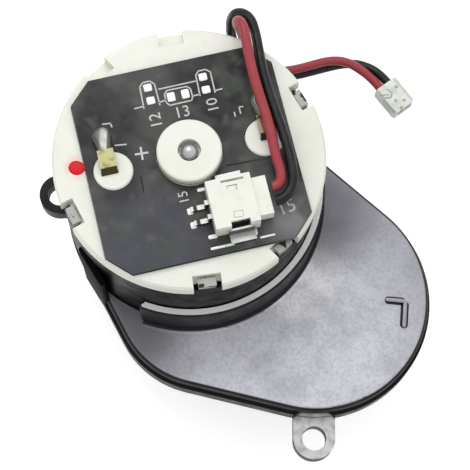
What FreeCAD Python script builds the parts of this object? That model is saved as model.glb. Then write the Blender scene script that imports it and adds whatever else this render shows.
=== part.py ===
import FreeCAD, Part
import math
import os

# Side brush motor of a robot vacuum: a small direct-current motor stands in the
# collar of a flat gear case, and two gear stages drive the square post under it.
# Millimetres, +Z up. The origin is midway between the two ear holes, at the
# height where the case and its cover meet.
# +X runs from the motor's ear to the far ear.

Vector = FreeCAD.Vector
UP = Vector(0, 0, 1)
POINT = 1e-4

# Layout: the ears, the motor and the brush post
EAR_SPACING = 45.2
EAR_R = 2.6
EAR_HOLE_R = 1.5
EAR_THICKNESS = 2.0
EAR_SEAT_DEPTH = 0.4
MOTOR_X = -9.43
MOTOR_Y = 10.67
POST_CENTRE_LENGTH = 20.06
LAYOUT_ANGLE = 5.33

# Gears: teeth, modules, profile shifts and widths
ARMATURE_PINION_TEETH = 14
IDLER_WHEEL_TEETH = 48
IDLER_PINION_TEETH = 10
OUTPUT_WHEEL_TEETH = 43
FAST_MODULE = 0.4
SLOW_MODULE = 0.5
FAST_SHIFT = 0.2
SLOW_SHIFT = 0.4
PRESSURE_ANGLE = 20.0
BACKLASH = 0.06
ROOT_DEPTH = 1.25
FAST_ADDENDUM = 0.95
SLOW_ADDENDUM = 0.85
WHEEL_ADDENDUM = 1.0
FAST_WHEEL_BOTTOM = 0.0
FAST_WHEEL_TOP = 1.2
FAST_PINION_BOTTOM = -0.4
FAST_PINION_TOP = 1.3
SLOW_WHEEL_BOTTOM = -2.5
SLOW_WHEEL_TOP = -0.4
WEB_RECESS = 0.45
WEB_RIM = 1.3
OUTPUT_HUB_R = 2.7
OUTPUT_HUB_TOP = 1.1
FAST_WEB_HUB_R = 4.2
WEB_HOLES = 6
WEB_HOLE_R = 1.35

# Gear case
CASE_HEIGHT = 4.5
PLATE_THICKNESS = 1.5
WALL = 1.2
MOTOR_LOBE_R = 15.3
IDLER_LOBE_R = 11.7
POST_LOBE_R = 14.4
FLANGE_HEIGHT = 2.5
FLANGE_PROUD = 0.4
PLATE_EDGE_R = 0.6
SEAT_Z = 3.0
SEAT_FLOOR = 1.5
COLLAR_WALL = 0.95
COLLAR_TOP = 10.9
COLLAR_START = -65.7
COLLAR_END = 115.3
COLLAR_FOOT_R = 0.7
COLLAR_EDGE = 0.25

# Cover
COVER_DEPTH = 4.0
COVER_FLOOR = 1.2
COVER_INSET = 0.2
PAN_INSET = 0.6
PAN_CUT_Y = -7.35
TRIM_LENGTH = 200.0
PAN_EDGE_R = 0.8
CORNER_FLOOR_TOP = -0.4
CORNER_FLOOR = 1.0
POST_BOSS_R = 5.4
POST_BOSS_BOTTOM = -6.5
BOSS_RIBS = 6
BOSS_RIB_REACH = 4.5
BOSS_RIB_THICKNESS = 1.0
BOSS_RIB_EDGE = 0.2
BOSS_RIB_STEP = 0.4

# Case fasteners
SCREW_R = 1.0
SCREW_PILOT_CLEARANCE = 0.02
SCREW_HOLE_CLEARANCE = 0.1
SCREW_BOSS_R = 2.5
SCREW_HEAD_R = 1.9
SCREW_HEAD_HEIGHT = 1.0
SCREW_HEAD_CLEARANCE = 0.2
SCREW_HOLE_TOP = 2.3
SCREW_END_GAP = 0.2
CROSS_ARM = 1.1
CROSS_WIDTH = 0.4
CROSS_DEPTH = 0.5
CROSS_TURN = 30.0
CASE_SCREW_CIRCLE_R = 11.75
CASE_SCREW_ANGLES = (208.4, 116.2)
FAR_SCREW_X = 10.4
FAR_SCREW_Y = 11.0
MOTOR_SCREW_R = 0.9
MOTOR_SCREW_HEAD_R = 1.7
MOTOR_SCREW_HEAD_HEIGHT = 0.9
MOTOR_SCREW_CIRCLE_R = 8.0
MOTOR_SCREW_ANGLE = 75.3
MOTOR_SCREW_TOP = 4.6

# Intermediate axle and its seats
AXLE_R = 1.0
AXLE_CLEARANCE = 0.05
AXLE_TOP = 2.5
AXLE_BOTTOM = -3.6
AXLE_BOSS_R = 2.1
AXLE_BOSS_TOP = -2.6

# Output shaft, bushes and seal
JOURNAL_R = 3.0
JOURNAL_CLEARANCE = 0.04
JOURNAL_BOTTOM = -7.2
GEAR_SEAT_R = 2.0
GEAR_SEAT_FLAT = 1.65
PILOT_R = 1.5
PILOT_TOP = 2.75
UPPER_BUSH_R = 2.6
UPPER_BUSH_BOTTOM = 1.45
UPPER_BUSH_TOP = 2.9
UPPER_BOSS_R = 4.0
LOWER_BUSH_R = 4.0
LOWER_BUSH_BOTTOM = -5.6
OUTPUT_END_PLAY = 0.1
BUSH_FLANGE_R = 5.0
SEAL_R = 4.3
SEAL_CLEARANCE = 0.08
POST_SQUARE = 4.2
POST_BOTTOM = -14.0
POST_CHAMFER = 0.4
POST_SCREW_R = 1.25
POST_SCREW_DEPTH = 7.0
WASHER_R = 2.4
WASHER_THICKNESS = 0.2

# Motor can, magnets and front bearing
CAN_R = 15.6
CAN_WALL = 0.8
CAN_SEAT_CLEARANCE = 0.15
CAN_TOP = 19.6
CAN_EDGE_R = 0.7
FRONT_BOSS_R = 3.5
FRONT_BOSS_CLEARANCE = 0.1
BEARING_R = 2.7
BEARING_LENGTH = 2.7
BEARING_CLEARANCE = 0.04
FRONT_BEARING_BOTTOM = 1.7
FRONT_BOSS_LIP_R = 1.9
MAGNET_THICKNESS = 2.9
MAGNET_HALF_ANGLE = 62.0
MAGNET_BOTTOM = 5.0
MAGNET_TOP = 16.8
MAGNET_AXIS_ANGLE = 57.83
MAGNET_GAP = 0.02
CLIP_THICKNESS = 0.35
CLIP_LIP = 2.0

# Armature
SHAFT_R = 1.0
SHAFT_BOTTOM = -0.6
SHAFT_TOP = 23.95
SHAFT_DOME_R = 1.3
CORE_AIR_GAP = 0.58
CORE_BOTTOM = 6.5
CORE_TOP = 15.5
CORE_HUB_R = 3.2
POLE_WIDTH = 3.0
POLE_SHOE = 1.7
POLE_HALF_ANGLE = 50.0
POLES = 3
COIL_HALF_WIDTH = 3.2
COIL_OVERHANG = 1.1
COIL_LENGTH = 4.3
COIL_SHOE_GAP = 0.7
COIL_CORNER_R = 1.2
COMMUTATOR_HUB_R = 1.9
COMMUTATOR_R = 2.6
COMMUTATOR_BOTTOM = 16.8
COMMUTATOR_TOP = 19.2
BAR_HALF_ANGLE = 56.0
SPACER_R = 1.7
SPACER_BOTTOM = 4.85
THRUST_WASHER_R = 2.2
THRUST_WASHER_THICKNESS = 0.25
THRUST_GAP = 0.1

# End bell with its hub, notches and can tabs
BELL_PROUD = 0.4
BELL_TOP = 21.8
BELL_SPIGOT_CLEARANCE = 0.05
BELL_SPIGOT_WALL = 1.7
BELL_SPIGOT_DEPTH = 1.6
BELL_EDGE = 0.25
HUB_R = 3.8
HUB_TOP = 24.0
HUB_HOLE_R = 1.35
HUB_EDGE_R = 0.3
NOTCH_FLOOR = 20.3
TAB_NOTCH_WIDTH = 3.3
TAB_NOTCH_DEPTH = 1.25
TAB_WIDTH = 2.1
TAB_TOP = 21.1
TAB_FOLD = 1.0
TAB_ANGLES = (0.3, 74.3, 251.8, 322.3)
OPEN_NOTCH_ANGLES = (143.3, 179.3)
OPEN_NOTCH_WIDTH = 3.0
OPEN_NOTCH_DEPTH = 1.9
TERMINAL_BOSS_R = 2.3
TERMINAL_BOSS_TOP = 22.65
TERMINAL_BOSS_EDGE = 0.15
BEARING_ROOF = 1.0

# Circuit board: its own axes are turned about the motor axis
BOARD_ANGLE = 57.83
BOARD_LEFT = -12.1
BOARD_RIGHT = 12.1
BOARD_FRONT = -12.45
BOARD_BACK = 11.6
BOARD_CUT = 2.6
BOARD_TOP = 22.4
BOARD_THICKNESS = 1.0
BOARD_CLEARANCE = 0.1
BOARD_HUB_CLEARANCE = 0.15

# Terminals, brushes and brush arms, one of each on either side of the hub
TERMINAL_X = 9.0
TERMINAL_HOLE_R = 2.4
TERMINAL_HALF_WIDTH = 0.95
TERMINAL_THICKNESS = 0.35
TERMINAL_TOP = 23.6
TERMINAL_KNEE = 22.9
TERMINAL_LEAN = 0.55
TERMINAL_CLEARANCE = 0.05
TERMINAL_REACH = 2.45
TERMINAL_FOOT = 17.0
TERMINAL_SHIFT_X = 0.45
ARM_THICKNESS = 0.3
ARM_Y = 6.2
ARM_HALF_HEIGHT = 0.9
ARM_Z = 18.0
ARM_OVERLAP = 0.6
ARM_TAIL = 1.6
BRUSH_LENGTH = 1.3
BRUSH_HALF_WIDTH = 0.9
BRUSH_HALF_HEIGHT = 0.85
BRUSH_GAP = 0.05
BRUSH_WRAP = 0.6
BRUSH_FOOT_GAP = 0.25
JOINT_BACK = 5.4
JOINT_R = 1.15
JOINT_NECK = 0.75
JOINT_HEIGHT = 1.15
JOINT_ROUND = 0.6

# Header, plug and pins on the board
HEADER_LEFT = 0.7
HEADER_RIGHT = 5.9
HEADER_FRONT = -10.4
HEADER_BACK = -4.6
HEADER_HEIGHT = 3.0
HEADER_WALL = 0.55
HEADER_FLOOR = 0.5
WINDOW_LEFT = 2.5
WINDOW_RIGHT = 4.75
LATCH_DEPTH = 0.7
LATCH_RISE = 0.5
HEADER_END_WALL = 1.0
PLUG_CLEARANCE = 0.05
PLUG_RIGHT = 7.6
PLUG_HOLE_DEPTH = 1.8
PLUG_PITCH = 1.7
PIN_HALF_WIDTH = 0.28
PIN_THICKNESS = 0.35
PIN_TOE = -1.4
PIN_TIP = 4.6
PIN_KNEE = 0.2
TAB_PLATE = 0.25
TAB_REACH = 1.3
TAB_LEFT = 2.2
TAB_RIGHT = 5.2
TAB_HEIGHT = 1.8

# Wires: the routes from the plug, over the end bell, down behind the motor
# and out to the end plug, one point each run
WIRE_R = 0.6
WIRE_HOLE_CLEARANCE = 0.03
LOOSE_BEND = 0.45
RED_ROUTE = (
    (0.45, 14.15, 23.9),
    (0.95, 14.95, 23.95),
    (0.06, 16.1, 24.1),
    (-1.85, 17.08, 24.3),
    (-4.92, 19.21, 24.6),
    (-8.01, 20.85, 24.9),
    (-10.61, 22.3, 25.2),
    (-12.81, 23.82, 25.5),
    (-14.46, 25.01, 25.8),
    (-15.69, 25.76, 25.7),
    (-16.54, 25.88, 24.9),
    (-16.71, 26.14, 22.9),
    (-16.67, 26.96, 19.5),
    (-16.97, 27.85, 15.0),
    (-17.06, 28.91, 10.0),
    (-16.72, 29.98, 5.5),
    (-15.67, 31.36, 2.0),
    (-14.17, 32.92, 0.8),
    (-12.95, 34.74, 0.6),
    (-11.87, 36.72, 0.6),
    (-10.85, 38.57, 0.5),
    (-9.4, 39.96, 0.45),
    (-7.68, 40.6, 0.25),
    (-5.11, 41.05, -0.3),
    (-3.23, 40.75, -0.3),
)
BLACK_ROUTE = (
    (1.9, 13.24, 23.9),
    (2.55, 14.25, 23.95),
    (1.92, 16.32, 24.1),
    (-0.37, 18.1, 24.2),
    (-3.67, 20.01, 24.2),
    (-7.11, 21.76, 24.3),
    (-9.97, 23.43, 24.4),
    (-12.2, 25.05, 24.5),
    (-14.11, 26.47, 24.4),
    (-15.78, 27.39, 24.3),
    (-17.18, 27.32, 23.8),
    (-18.0, 26.8, 22.8),
    (-18.31, 26.73, 20.0),
    (-18.26, 26.84, 16.5),
    (-18.04, 27.55, 11.6),
    (-17.47, 28.52, 6.5),
    (-16.5, 29.79, 2.2),
    (-15.17, 31.28, -0.2),
    (-13.76, 32.98, -0.9),
    (-12.59, 34.9, -1.0),
    (-11.45, 36.85, -1.0),
    (-10.41, 38.72, -1.05),
    (-9.32, 40.38, -1.05),
    (-7.6, 41.8, -0.9),
    (-4.91, 42.33, -0.3),
    (-3.03, 42.03, -0.3),
)

# End plug on the free end
END_PLUG_ANGLE = -8.88
END_PLUG_LENGTH = 4.1
END_PLUG_WIDTH = 3.4
END_PLUG_CORNER = 0.3
END_PITCH = 1.3
END_PLUG_HEIGHT = 2.4
END_PLUG_EDGE = 0.3
END_CAVITY_DEPTH = 2.2
END_CAVITY_HALF = 0.55
END_CONTACT_HALF = 0.4
END_CONTACT_WALL = 0.15
END_CONTACT_SET_BACK = 0.4
END_CONTACT_END = 0.3


BELL_R = CAN_R + BELL_PROUD
CAN_BORE_R = CAN_R - CAN_WALL
MAGNET_R = CAN_BORE_R - MAGNET_GAP
CORE_R = MAGNET_R - MAGNET_THICKNESS - CORE_AIR_GAP
SCREW_SEAT = -COVER_DEPTH + SCREW_HEAD_HEIGHT


def polar(centre, radius, degrees):
    turn = math.radians(degrees)
    return Vector(centre.x + radius * math.cos(turn), centre.y + radius * math.sin(turn), 0)


MOTOR = Vector(MOTOR_X, MOTOR_Y, 0)
POST = polar(MOTOR, POST_CENTRE_LENGTH, LAYOUT_ANGLE)
FAST_DISTANCE = FAST_MODULE * (ARMATURE_PINION_TEETH + IDLER_WHEEL_TEETH) / 2
SLOW_DISTANCE = SLOW_MODULE * (IDLER_PINION_TEETH + OUTPUT_WHEEL_TEETH) / 2


def third_corner(a, b, from_a, from_b):
    """The point at the two given distances from a and b, on the right of a to b."""
    span = (b - a).Length
    along = (from_a**2 - from_b**2 + span**2) / (2 * span)
    aside = math.sqrt(from_a**2 - along**2)
    ahead = (b - a).normalize()
    right = Vector(ahead.y, -ahead.x, 0)
    return a + ahead * along + right * aside


IDLER = third_corner(MOTOR, POST, FAST_DISTANCE, SLOW_DISTANCE)
EARS = (Vector(-EAR_SPACING / 2, 0, 0), Vector(EAR_SPACING / 2, 0, 0))


def cylinder(radius, bottom, top, at=MOTOR):
    return Part.makeCylinder(radius, top - bottom, Vector(at.x, at.y, bottom), UP)


def tube(outer, inner, bottom, top, at=MOTOR):
    return cylinder(outer, bottom, top, at).cut(cylinder(inner, bottom, top, at))


def block(x0, x1, y0, y1, z0, z1):
    return Part.makeBox(x1 - x0, y1 - y0, z1 - z0, Vector(x0, y0, z0))


def turned(shape, degrees, at=MOTOR):
    """A shape drawn about the origin, turned and put on an axis."""
    moved = shape.copy()
    moved.rotate(Vector(0, 0, 0), UP, degrees)
    moved.translate(Vector(at.x, at.y, 0))
    return moved


def prism(points, bottom, top):
    corners = [Vector(x, y, bottom) for x, y in points]
    face = Part.Face(Part.makePolygon(corners + [corners[0]]))
    return face.extrude(Vector(0, 0, top - bottom))


def sector(outer, inner, bottom, top, start, end):
    """A stretch of a ring about the origin."""
    profile = Part.makePolygon([
        Vector(inner, 0, bottom), Vector(outer, 0, bottom),
        Vector(outer, 0, top), Vector(inner, 0, top), Vector(inner, 0, bottom)])
    ring = Part.Face(profile).revolve(Vector(0, 0, 0), UP, end - start)
    ring.rotate(Vector(0, 0, 0), UP, start)
    return ring


def lobed_outline(lobes, bottom, top):
    """A prism round several circles, given anticlockwise as (centre, radius)."""
    count = len(lobes)
    joins = []
    for index in range(count):
        (a, ra), (b, rb) = lobes[index], lobes[(index + 1) % count]
        heading = math.atan2(b.y - a.y, b.x - a.x)
        lean = math.asin((ra - rb) / (b - a).Length)
        normal = math.degrees(heading - math.pi / 2 + lean)
        joins.append((polar(a, ra, normal), polar(b, rb, normal), normal))
    edges = []
    for index in range(count):
        centre, radius = lobes[index]
        begin = joins[index - 1][2]
        finish = joins[index][2]
        while finish < begin:
            finish += 360
        edges.append(Part.Arc(joins[index - 1][1], polar(centre, radius, (begin + finish) / 2),
                              joins[index][0]).toShape())
        edges.append(Part.LineSegment(joins[index][0], joins[index][1]).toShape())
    solid = Part.Face(Part.Wire(edges)).extrude(Vector(0, 0, top - bottom))
    solid.translate(Vector(0, 0, bottom))
    return solid


def case_outline(offset, bottom, top):
    lobes = [(MOTOR, MOTOR_LOBE_R + offset), (IDLER, IDLER_LOBE_R + offset),
             (POST, POST_LOBE_R + offset)]
    return lobed_outline(lobes, bottom, top)


def rounded(solid, radius, level, test=lambda edge: True):
    """Fillets the edges that lie wholly at one height."""
    chosen = [edge for edge in solid.Edges
              if abs(edge.BoundBox.ZMin - level) < 1e-4
              and abs(edge.BoundBox.ZMax - level) < 1e-4 and test(edge)]
    return solid.makeFillet(radius, chosen)


def save(name, shape):
    solids = shape.Solids
    result = solids[0] if len(solids) == 1 else Part.makeCompound(solids)
    result.exportStep(f"parts/{name}.step")
    print(f"{name}: {len(solids)} solid(s), {result.Volume:.1f} mm3, valid {result.isValid()}")


# Gears

def involute(angle):
    return math.tan(angle) - angle


def gear_blank(teeth, module, shift, addendum, facing, centre, bottom, top, gap=False):
    """A toothed disc. A tooth, or a gap, faces the given angle."""
    alpha = math.radians(PRESSURE_ANGLE)
    pitch_r = module * teeth / 2
    base_r = pitch_r * math.cos(alpha)
    tip_r = pitch_r + module * (addendum + shift)
    root_r = pitch_r - module * (ROOT_DEPTH - shift)
    width = module * (math.pi / 2 + 2 * shift * math.tan(alpha)) - BACKLASH
    half = width / (2 * pitch_r) + involute(alpha)
    start_r = max(base_r, root_r)

    def flank(radius, side, middle):
        spread = half - involute(math.acos(min(1.0, base_r / radius)))
        turn = middle + side * spread
        return Vector(radius * math.cos(turn), radius * math.sin(turn), 0)

    def at(radius, turn):
        return Vector(radius * math.cos(turn), radius * math.sin(turn), 0)

    edges = []
    step = 2 * math.pi / teeth
    first = math.radians(facing) + (step / 2 if gap else 0.0)
    foot = half - involute(math.acos(min(1.0, base_r / start_r)))
    for index in range(teeth):
        middle = first + index * step
        low_a, low_b = flank(start_r, -1, middle), flank(start_r, 1, middle)
        mean_r = (start_r + tip_r) / 2
        if root_r < start_r - 1e-6:
            edges.append(Part.LineSegment(at(root_r, middle - foot), low_a).toShape())
        edges.append(Part.Arc(low_a, flank(mean_r, -1, middle), flank(tip_r, -1, middle)).toShape())
        edges.append(Part.LineSegment(flank(tip_r, -1, middle), flank(tip_r, 1, middle)).toShape())
        edges.append(Part.Arc(flank(tip_r, 1, middle), flank(mean_r, 1, middle), low_b).toShape())
        if root_r < start_r - 1e-6:
            edges.append(Part.LineSegment(low_b, at(root_r, middle + foot)).toShape())
        low_r = min(root_r, start_r)
        edges.append(Part.LineSegment(at(low_r, middle + foot),
                                      at(low_r, middle + step - foot)).toShape())
    gear = Part.Face(Part.Wire(edges)).extrude(Vector(0, 0, top - bottom))
    gear.translate(Vector(centre.x, centre.y, bottom))
    return gear


def direction(a, b):
    return math.degrees(math.atan2(b.y - a.y, b.x - a.x))


def motor_pinion():
    pinion = gear_blank(ARMATURE_PINION_TEETH, FAST_MODULE, FAST_SHIFT, FAST_ADDENDUM,
                        direction(MOTOR, IDLER), MOTOR, FAST_PINION_BOTTOM, FAST_PINION_TOP)
    return pinion.cut(cylinder(SHAFT_R, FAST_PINION_BOTTOM, FAST_PINION_TOP))


def web_holes(centre, inner_r, outer_r, bottom, top):
    middle = (inner_r + outer_r) / 2
    return [cylinder(WEB_HOLE_R, bottom, top, polar(centre, middle, index * 360 / WEB_HOLES))
            for index in range(WEB_HOLES)]


def intermediate_gear():
    wheel = gear_blank(IDLER_WHEEL_TEETH, FAST_MODULE, -FAST_SHIFT, WHEEL_ADDENDUM,
                       direction(IDLER, MOTOR), IDLER, FAST_WHEEL_BOTTOM, FAST_WHEEL_TOP, gap=True)
    rim_r = FAST_MODULE * IDLER_WHEEL_TEETH / 2 - WEB_RIM
    recess = tube(rim_r, FAST_WEB_HUB_R, FAST_WHEEL_TOP - WEB_RECESS, FAST_WHEEL_TOP, IDLER)
    pinion = gear_blank(IDLER_PINION_TEETH, SLOW_MODULE, SLOW_SHIFT, SLOW_ADDENDUM,
                        direction(IDLER, POST), IDLER, SLOW_WHEEL_BOTTOM, FAST_WHEEL_BOTTOM)
    gear = wheel.cut(recess).fuse(pinion)
    gear = gear.cut(web_holes(IDLER, FAST_WEB_HUB_R, rim_r, FAST_WHEEL_BOTTOM, FAST_WHEEL_TOP))
    bore = cylinder(AXLE_R + AXLE_CLEARANCE, SLOW_WHEEL_BOTTOM, FAST_WHEEL_TOP, IDLER)
    return gear.cut(bore).removeSplitter()


def double_flat(radius, flat, bottom, top):
    """A round bar with two flats, about the origin."""
    bar = Part.makeCylinder(radius, top - bottom, Vector(0, 0, bottom), UP)
    return bar.common(block(-flat, flat, -radius, radius, bottom, top))


def output_gear():
    wheel = gear_blank(OUTPUT_WHEEL_TEETH, SLOW_MODULE, -SLOW_SHIFT, WHEEL_ADDENDUM,
                       direction(POST, IDLER), POST, SLOW_WHEEL_BOTTOM, SLOW_WHEEL_TOP, gap=True)
    rim_r = SLOW_MODULE * OUTPUT_WHEEL_TEETH / 2 - 2 * SLOW_MODULE - WEB_RIM
    upper = tube(rim_r, OUTPUT_HUB_R, SLOW_WHEEL_TOP - WEB_RECESS, SLOW_WHEEL_TOP, POST)
    hub = cylinder(OUTPUT_HUB_R, SLOW_WHEEL_BOTTOM, OUTPUT_HUB_TOP, POST)
    gear = wheel.cut(upper).fuse(hub)
    gear = gear.cut(web_holes(POST, JOURNAL_R, rim_r, SLOW_WHEEL_BOTTOM, SLOW_WHEEL_TOP))
    seat = double_flat(GEAR_SEAT_R, GEAR_SEAT_FLAT, SLOW_WHEEL_BOTTOM, OUTPUT_HUB_TOP)
    return gear.cut(turned(seat, 0, POST)).removeSplitter()


# Case, cover and their fasteners

def case_screw_places():
    places = [polar(MOTOR, CASE_SCREW_CIRCLE_R, angle) for angle in CASE_SCREW_ANGLES]
    far = polar(MOTOR, math.hypot(FAR_SCREW_X, FAR_SCREW_Y),
                LAYOUT_ANGLE + math.degrees(math.atan2(FAR_SCREW_Y, FAR_SCREW_X)))
    return places + [far]


def motor_screw_places():
    return [polar(MOTOR, MOTOR_SCREW_CIRCLE_R, MOTOR_SCREW_ANGLE + turn) for turn in (0, 180)]


def ear(centre, inward):
    """A round ear on a neck; only its seat stands below the case's rim."""
    seat = cylinder(EAR_R, -EAR_SEAT_DEPTH, 0, centre)
    seat = seat.cut(case_outline(FLANGE_PROUD, -EAR_SEAT_DEPTH, 0))
    pad = cylinder(EAR_R, 0, EAR_THICKNESS, centre).fuse(seat)
    span = (inward - centre).Length
    neck = block(0, span, -EAR_R, EAR_R, 0, EAR_THICKNESS)
    return pad.fuse(turned(neck, direction(centre, inward), centre))


def seat_r():
    return CAN_R + CAN_SEAT_CLEARANCE


def collar_end(angle):
    """The half round that finishes the collar's wall."""
    half = COLLAR_WALL / 2
    end = Part.makeCylinder(half, COLLAR_TOP - SEAT_FLOOR,
                            Vector(seat_r() + half, 0, SEAT_FLOOR), UP)
    rim = [edge for edge in end.Edges if edge.BoundBox.ZMin > COLLAR_TOP - POINT]
    return turned(end.makeChamfer(COLLAR_EDGE, rim), angle)


def collar():
    """The wall that holds the motor, round about half of it, with a filleted foot."""
    inner, outer = seat_r(), seat_r() + COLLAR_WALL
    foot = outer + COLLAR_FOOT_R
    bend = Vector(foot - COLLAR_FOOT_R * math.sqrt(0.5), 0,
                  CASE_HEIGHT + COLLAR_FOOT_R * (1 - math.sqrt(0.5)))
    edges = [
        Part.LineSegment(Vector(inner, 0, SEAT_FLOOR), Vector(foot, 0, SEAT_FLOOR)).toShape(),
        Part.LineSegment(Vector(foot, 0, SEAT_FLOOR), Vector(foot, 0, CASE_HEIGHT)).toShape(),
        Part.Arc(Vector(foot, 0, CASE_HEIGHT), bend,
                 Vector(outer, 0, CASE_HEIGHT + COLLAR_FOOT_R)).toShape(),
        Part.LineSegment(Vector(outer, 0, CASE_HEIGHT + COLLAR_FOOT_R),
                         Vector(outer, 0, COLLAR_TOP - COLLAR_EDGE)).toShape(),
        Part.LineSegment(Vector(outer, 0, COLLAR_TOP - COLLAR_EDGE),
                         Vector(outer - COLLAR_EDGE, 0, COLLAR_TOP)).toShape(),
        Part.LineSegment(Vector(outer - COLLAR_EDGE, 0, COLLAR_TOP),
                         Vector(inner, 0, COLLAR_TOP)).toShape(),
        Part.LineSegment(Vector(inner, 0, COLLAR_TOP), Vector(inner, 0, SEAT_FLOOR)).toShape(),
    ]
    wall = Part.Face(Part.Wire(edges)).revolve(Vector(0, 0, 0), UP, COLLAR_END - COLLAR_START)
    ends = [collar_end(angle) for angle in (COLLAR_START, COLLAR_END)]
    return turned(wall, COLLAR_START).fuse(ends)


def gear_case():
    under_plate = CASE_HEIGHT - PLATE_THICKNESS
    plate = rounded(case_outline(0, 0, CASE_HEIGHT), PLATE_EDGE_R, CASE_HEIGHT)
    case = plate.fuse(case_outline(FLANGE_PROUD, 0, FLANGE_HEIGHT))
    base = turned(sector(seat_r() + COLLAR_WALL, 0.5, 0, SEAT_Z, COLLAR_START, COLLAR_END), 0)
    case = case.fuse([base, collar()])
    case = case.fuse([ear(EARS[0], MOTOR), ear(EARS[1], POST)])

    cavity = case_outline(-WALL, 0, under_plate)
    cavity = cavity.cut(cylinder(seat_r() + COLLAR_WALL, SEAT_FLOOR, under_plate))
    case = case.cut(cavity)

    bosses = [cylinder(SCREW_BOSS_R, 0, SEAT_Z, place) for place in case_screw_places()]
    bosses.append(cylinder(UPPER_BOSS_R, UPPER_BUSH_BOTTOM, under_plate, POST))
    inside = case_outline(0, 0, SEAT_Z).fuse(cylinder(seat_r(), 0, SEAT_Z))
    case = case.fuse([boss.common(inside) for boss in bosses])

    holes = [cylinder(seat_r(), SEAT_Z, COLLAR_TOP + 1),
             cylinder(FRONT_BOSS_R + FRONT_BOSS_CLEARANCE, 0, SEAT_Z),
             cylinder(AXLE_R, SEAT_FLOOR, AXLE_TOP, IDLER),
             cylinder(UPPER_BUSH_R, UPPER_BUSH_BOTTOM, UPPER_BUSH_TOP, POST)]
    holes += [cylinder(EAR_HOLE_R, -EAR_SEAT_DEPTH, EAR_THICKNESS, centre) for centre in EARS]
    holes += [cylinder(SCREW_R + SCREW_PILOT_CLEARANCE, 0, SCREW_HOLE_TOP, place)
              for place in case_screw_places()]
    for place in motor_screw_places():
        holes.append(motor_screw(place, SCREW_HOLE_CLEARANCE, SEAT_Z))
    return case.cut(holes).removeSplitter()


def gear_cover():
    rim = case_outline(-COVER_INSET, CORNER_FLOOR_TOP - CORNER_FLOOR, 0)
    pan = case_outline(-PAN_INSET, -COVER_DEPTH, 0)
    trim = block(-TRIM_LENGTH, TRIM_LENGTH, PAN_CUT_Y, TRIM_LENGTH, -COVER_DEPTH, 0)
    layout = turned(trim, LAYOUT_ANGLE, Vector(0, 0, 0))
    pan = pan.common(layout)
    pan = rounded(pan, PAN_EDGE_R, -COVER_DEPTH)
    boss = cylinder(POST_BOSS_R, POST_BOSS_BOTTOM, -COVER_DEPTH + COVER_FLOOR, POST)
    cover = rim.fuse([pan, boss])

    inner_layout = turned(block(-TRIM_LENGTH, TRIM_LENGTH, PAN_CUT_Y + WALL, TRIM_LENGTH,
                                -COVER_DEPTH, 0), LAYOUT_ANGLE, Vector(0, 0, 0))
    deep = case_outline(-PAN_INSET - WALL, -COVER_DEPTH + COVER_FLOOR, 0).common(inner_layout)
    shallow = case_outline(-COVER_INSET - WALL, CORNER_FLOOR_TOP, 0)
    cover = cover.cut(deep.fuse(shallow))

    bosses = [cylinder(SCREW_BOSS_R, -COVER_DEPTH, 0, place) for place in case_screw_places()]
    bosses.append(cylinder(AXLE_BOSS_R, -COVER_DEPTH, AXLE_BOSS_TOP, IDLER))
    limit = case_outline(-COVER_INSET, -COVER_DEPTH, 0)
    ribs = []
    for index in range(BOSS_RIBS):
        rib = prism_rib(POST_BOSS_R - 0.3, POST_BOSS_R + BOSS_RIB_REACH)
        ribs.append(turned(rib, index * 360 / BOSS_RIBS + LAYOUT_ANGLE, POST))
    cover = cover.fuse([piece.common(limit) for piece in bosses] + ribs)

    holes = [cylinder(AXLE_R, AXLE_BOTTOM, AXLE_BOSS_TOP, IDLER),
             cylinder(LOWER_BUSH_R, POST_BOSS_BOTTOM, SLOW_WHEEL_BOTTOM, POST),
             cylinder(SEAL_R, POST_BOSS_BOTTOM, LOWER_BUSH_BOTTOM, POST)]
    for place in case_screw_places():
        holes.append(cylinder(SCREW_R + SCREW_HOLE_CLEARANCE, -COVER_DEPTH, 0, place))
        holes.append(cylinder(SCREW_HEAD_R + SCREW_HEAD_CLEARANCE, -COVER_DEPTH,
                              SCREW_SEAT, place))
    return cover.cut(holes).removeSplitter()


def prism_rib(inner, outer):
    """A gusset under the cover that falls away from the post boss."""
    root = -COVER_DEPTH + BOSS_RIB_EDGE
    corners = [Vector(inner, -BOSS_RIB_THICKNESS / 2, root),
               Vector(outer, -BOSS_RIB_THICKNESS / 2, root),
               Vector(outer, -BOSS_RIB_THICKNESS / 2, -COVER_DEPTH - BOSS_RIB_EDGE),
               Vector(inner, -BOSS_RIB_THICKNESS / 2, POST_BOSS_BOTTOM + BOSS_RIB_STEP)]
    face = Part.Face(Part.makePolygon(corners + [corners[0]]))
    return face.extrude(Vector(0, BOSS_RIB_THICKNESS, 0))


def cross_recess(place, seat):
    """The cross in a screw head that is seen from below."""
    arms = block(-CROSS_ARM, CROSS_ARM, -CROSS_WIDTH / 2, CROSS_WIDTH / 2, seat, seat + CROSS_DEPTH)
    other = block(-CROSS_WIDTH / 2, CROSS_WIDTH / 2, -CROSS_ARM, CROSS_ARM, seat,
                  seat + CROSS_DEPTH)
    return turned(arms.fuse(other), CROSS_TURN, place)


def cover_screws():
    screws = []
    for place in case_screw_places():
        head = rounded(cylinder(SCREW_HEAD_R, -COVER_DEPTH, SCREW_SEAT, place),
                       SCREW_HEAD_HEIGHT / 2, -COVER_DEPTH)
        shank = cylinder(SCREW_R, SCREW_SEAT, SCREW_HOLE_TOP - SCREW_END_GAP, place)
        screws.append(head.fuse(shank).cut(cross_recess(place, -COVER_DEPTH)).removeSplitter())
    return Part.makeCompound(screws)


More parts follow.
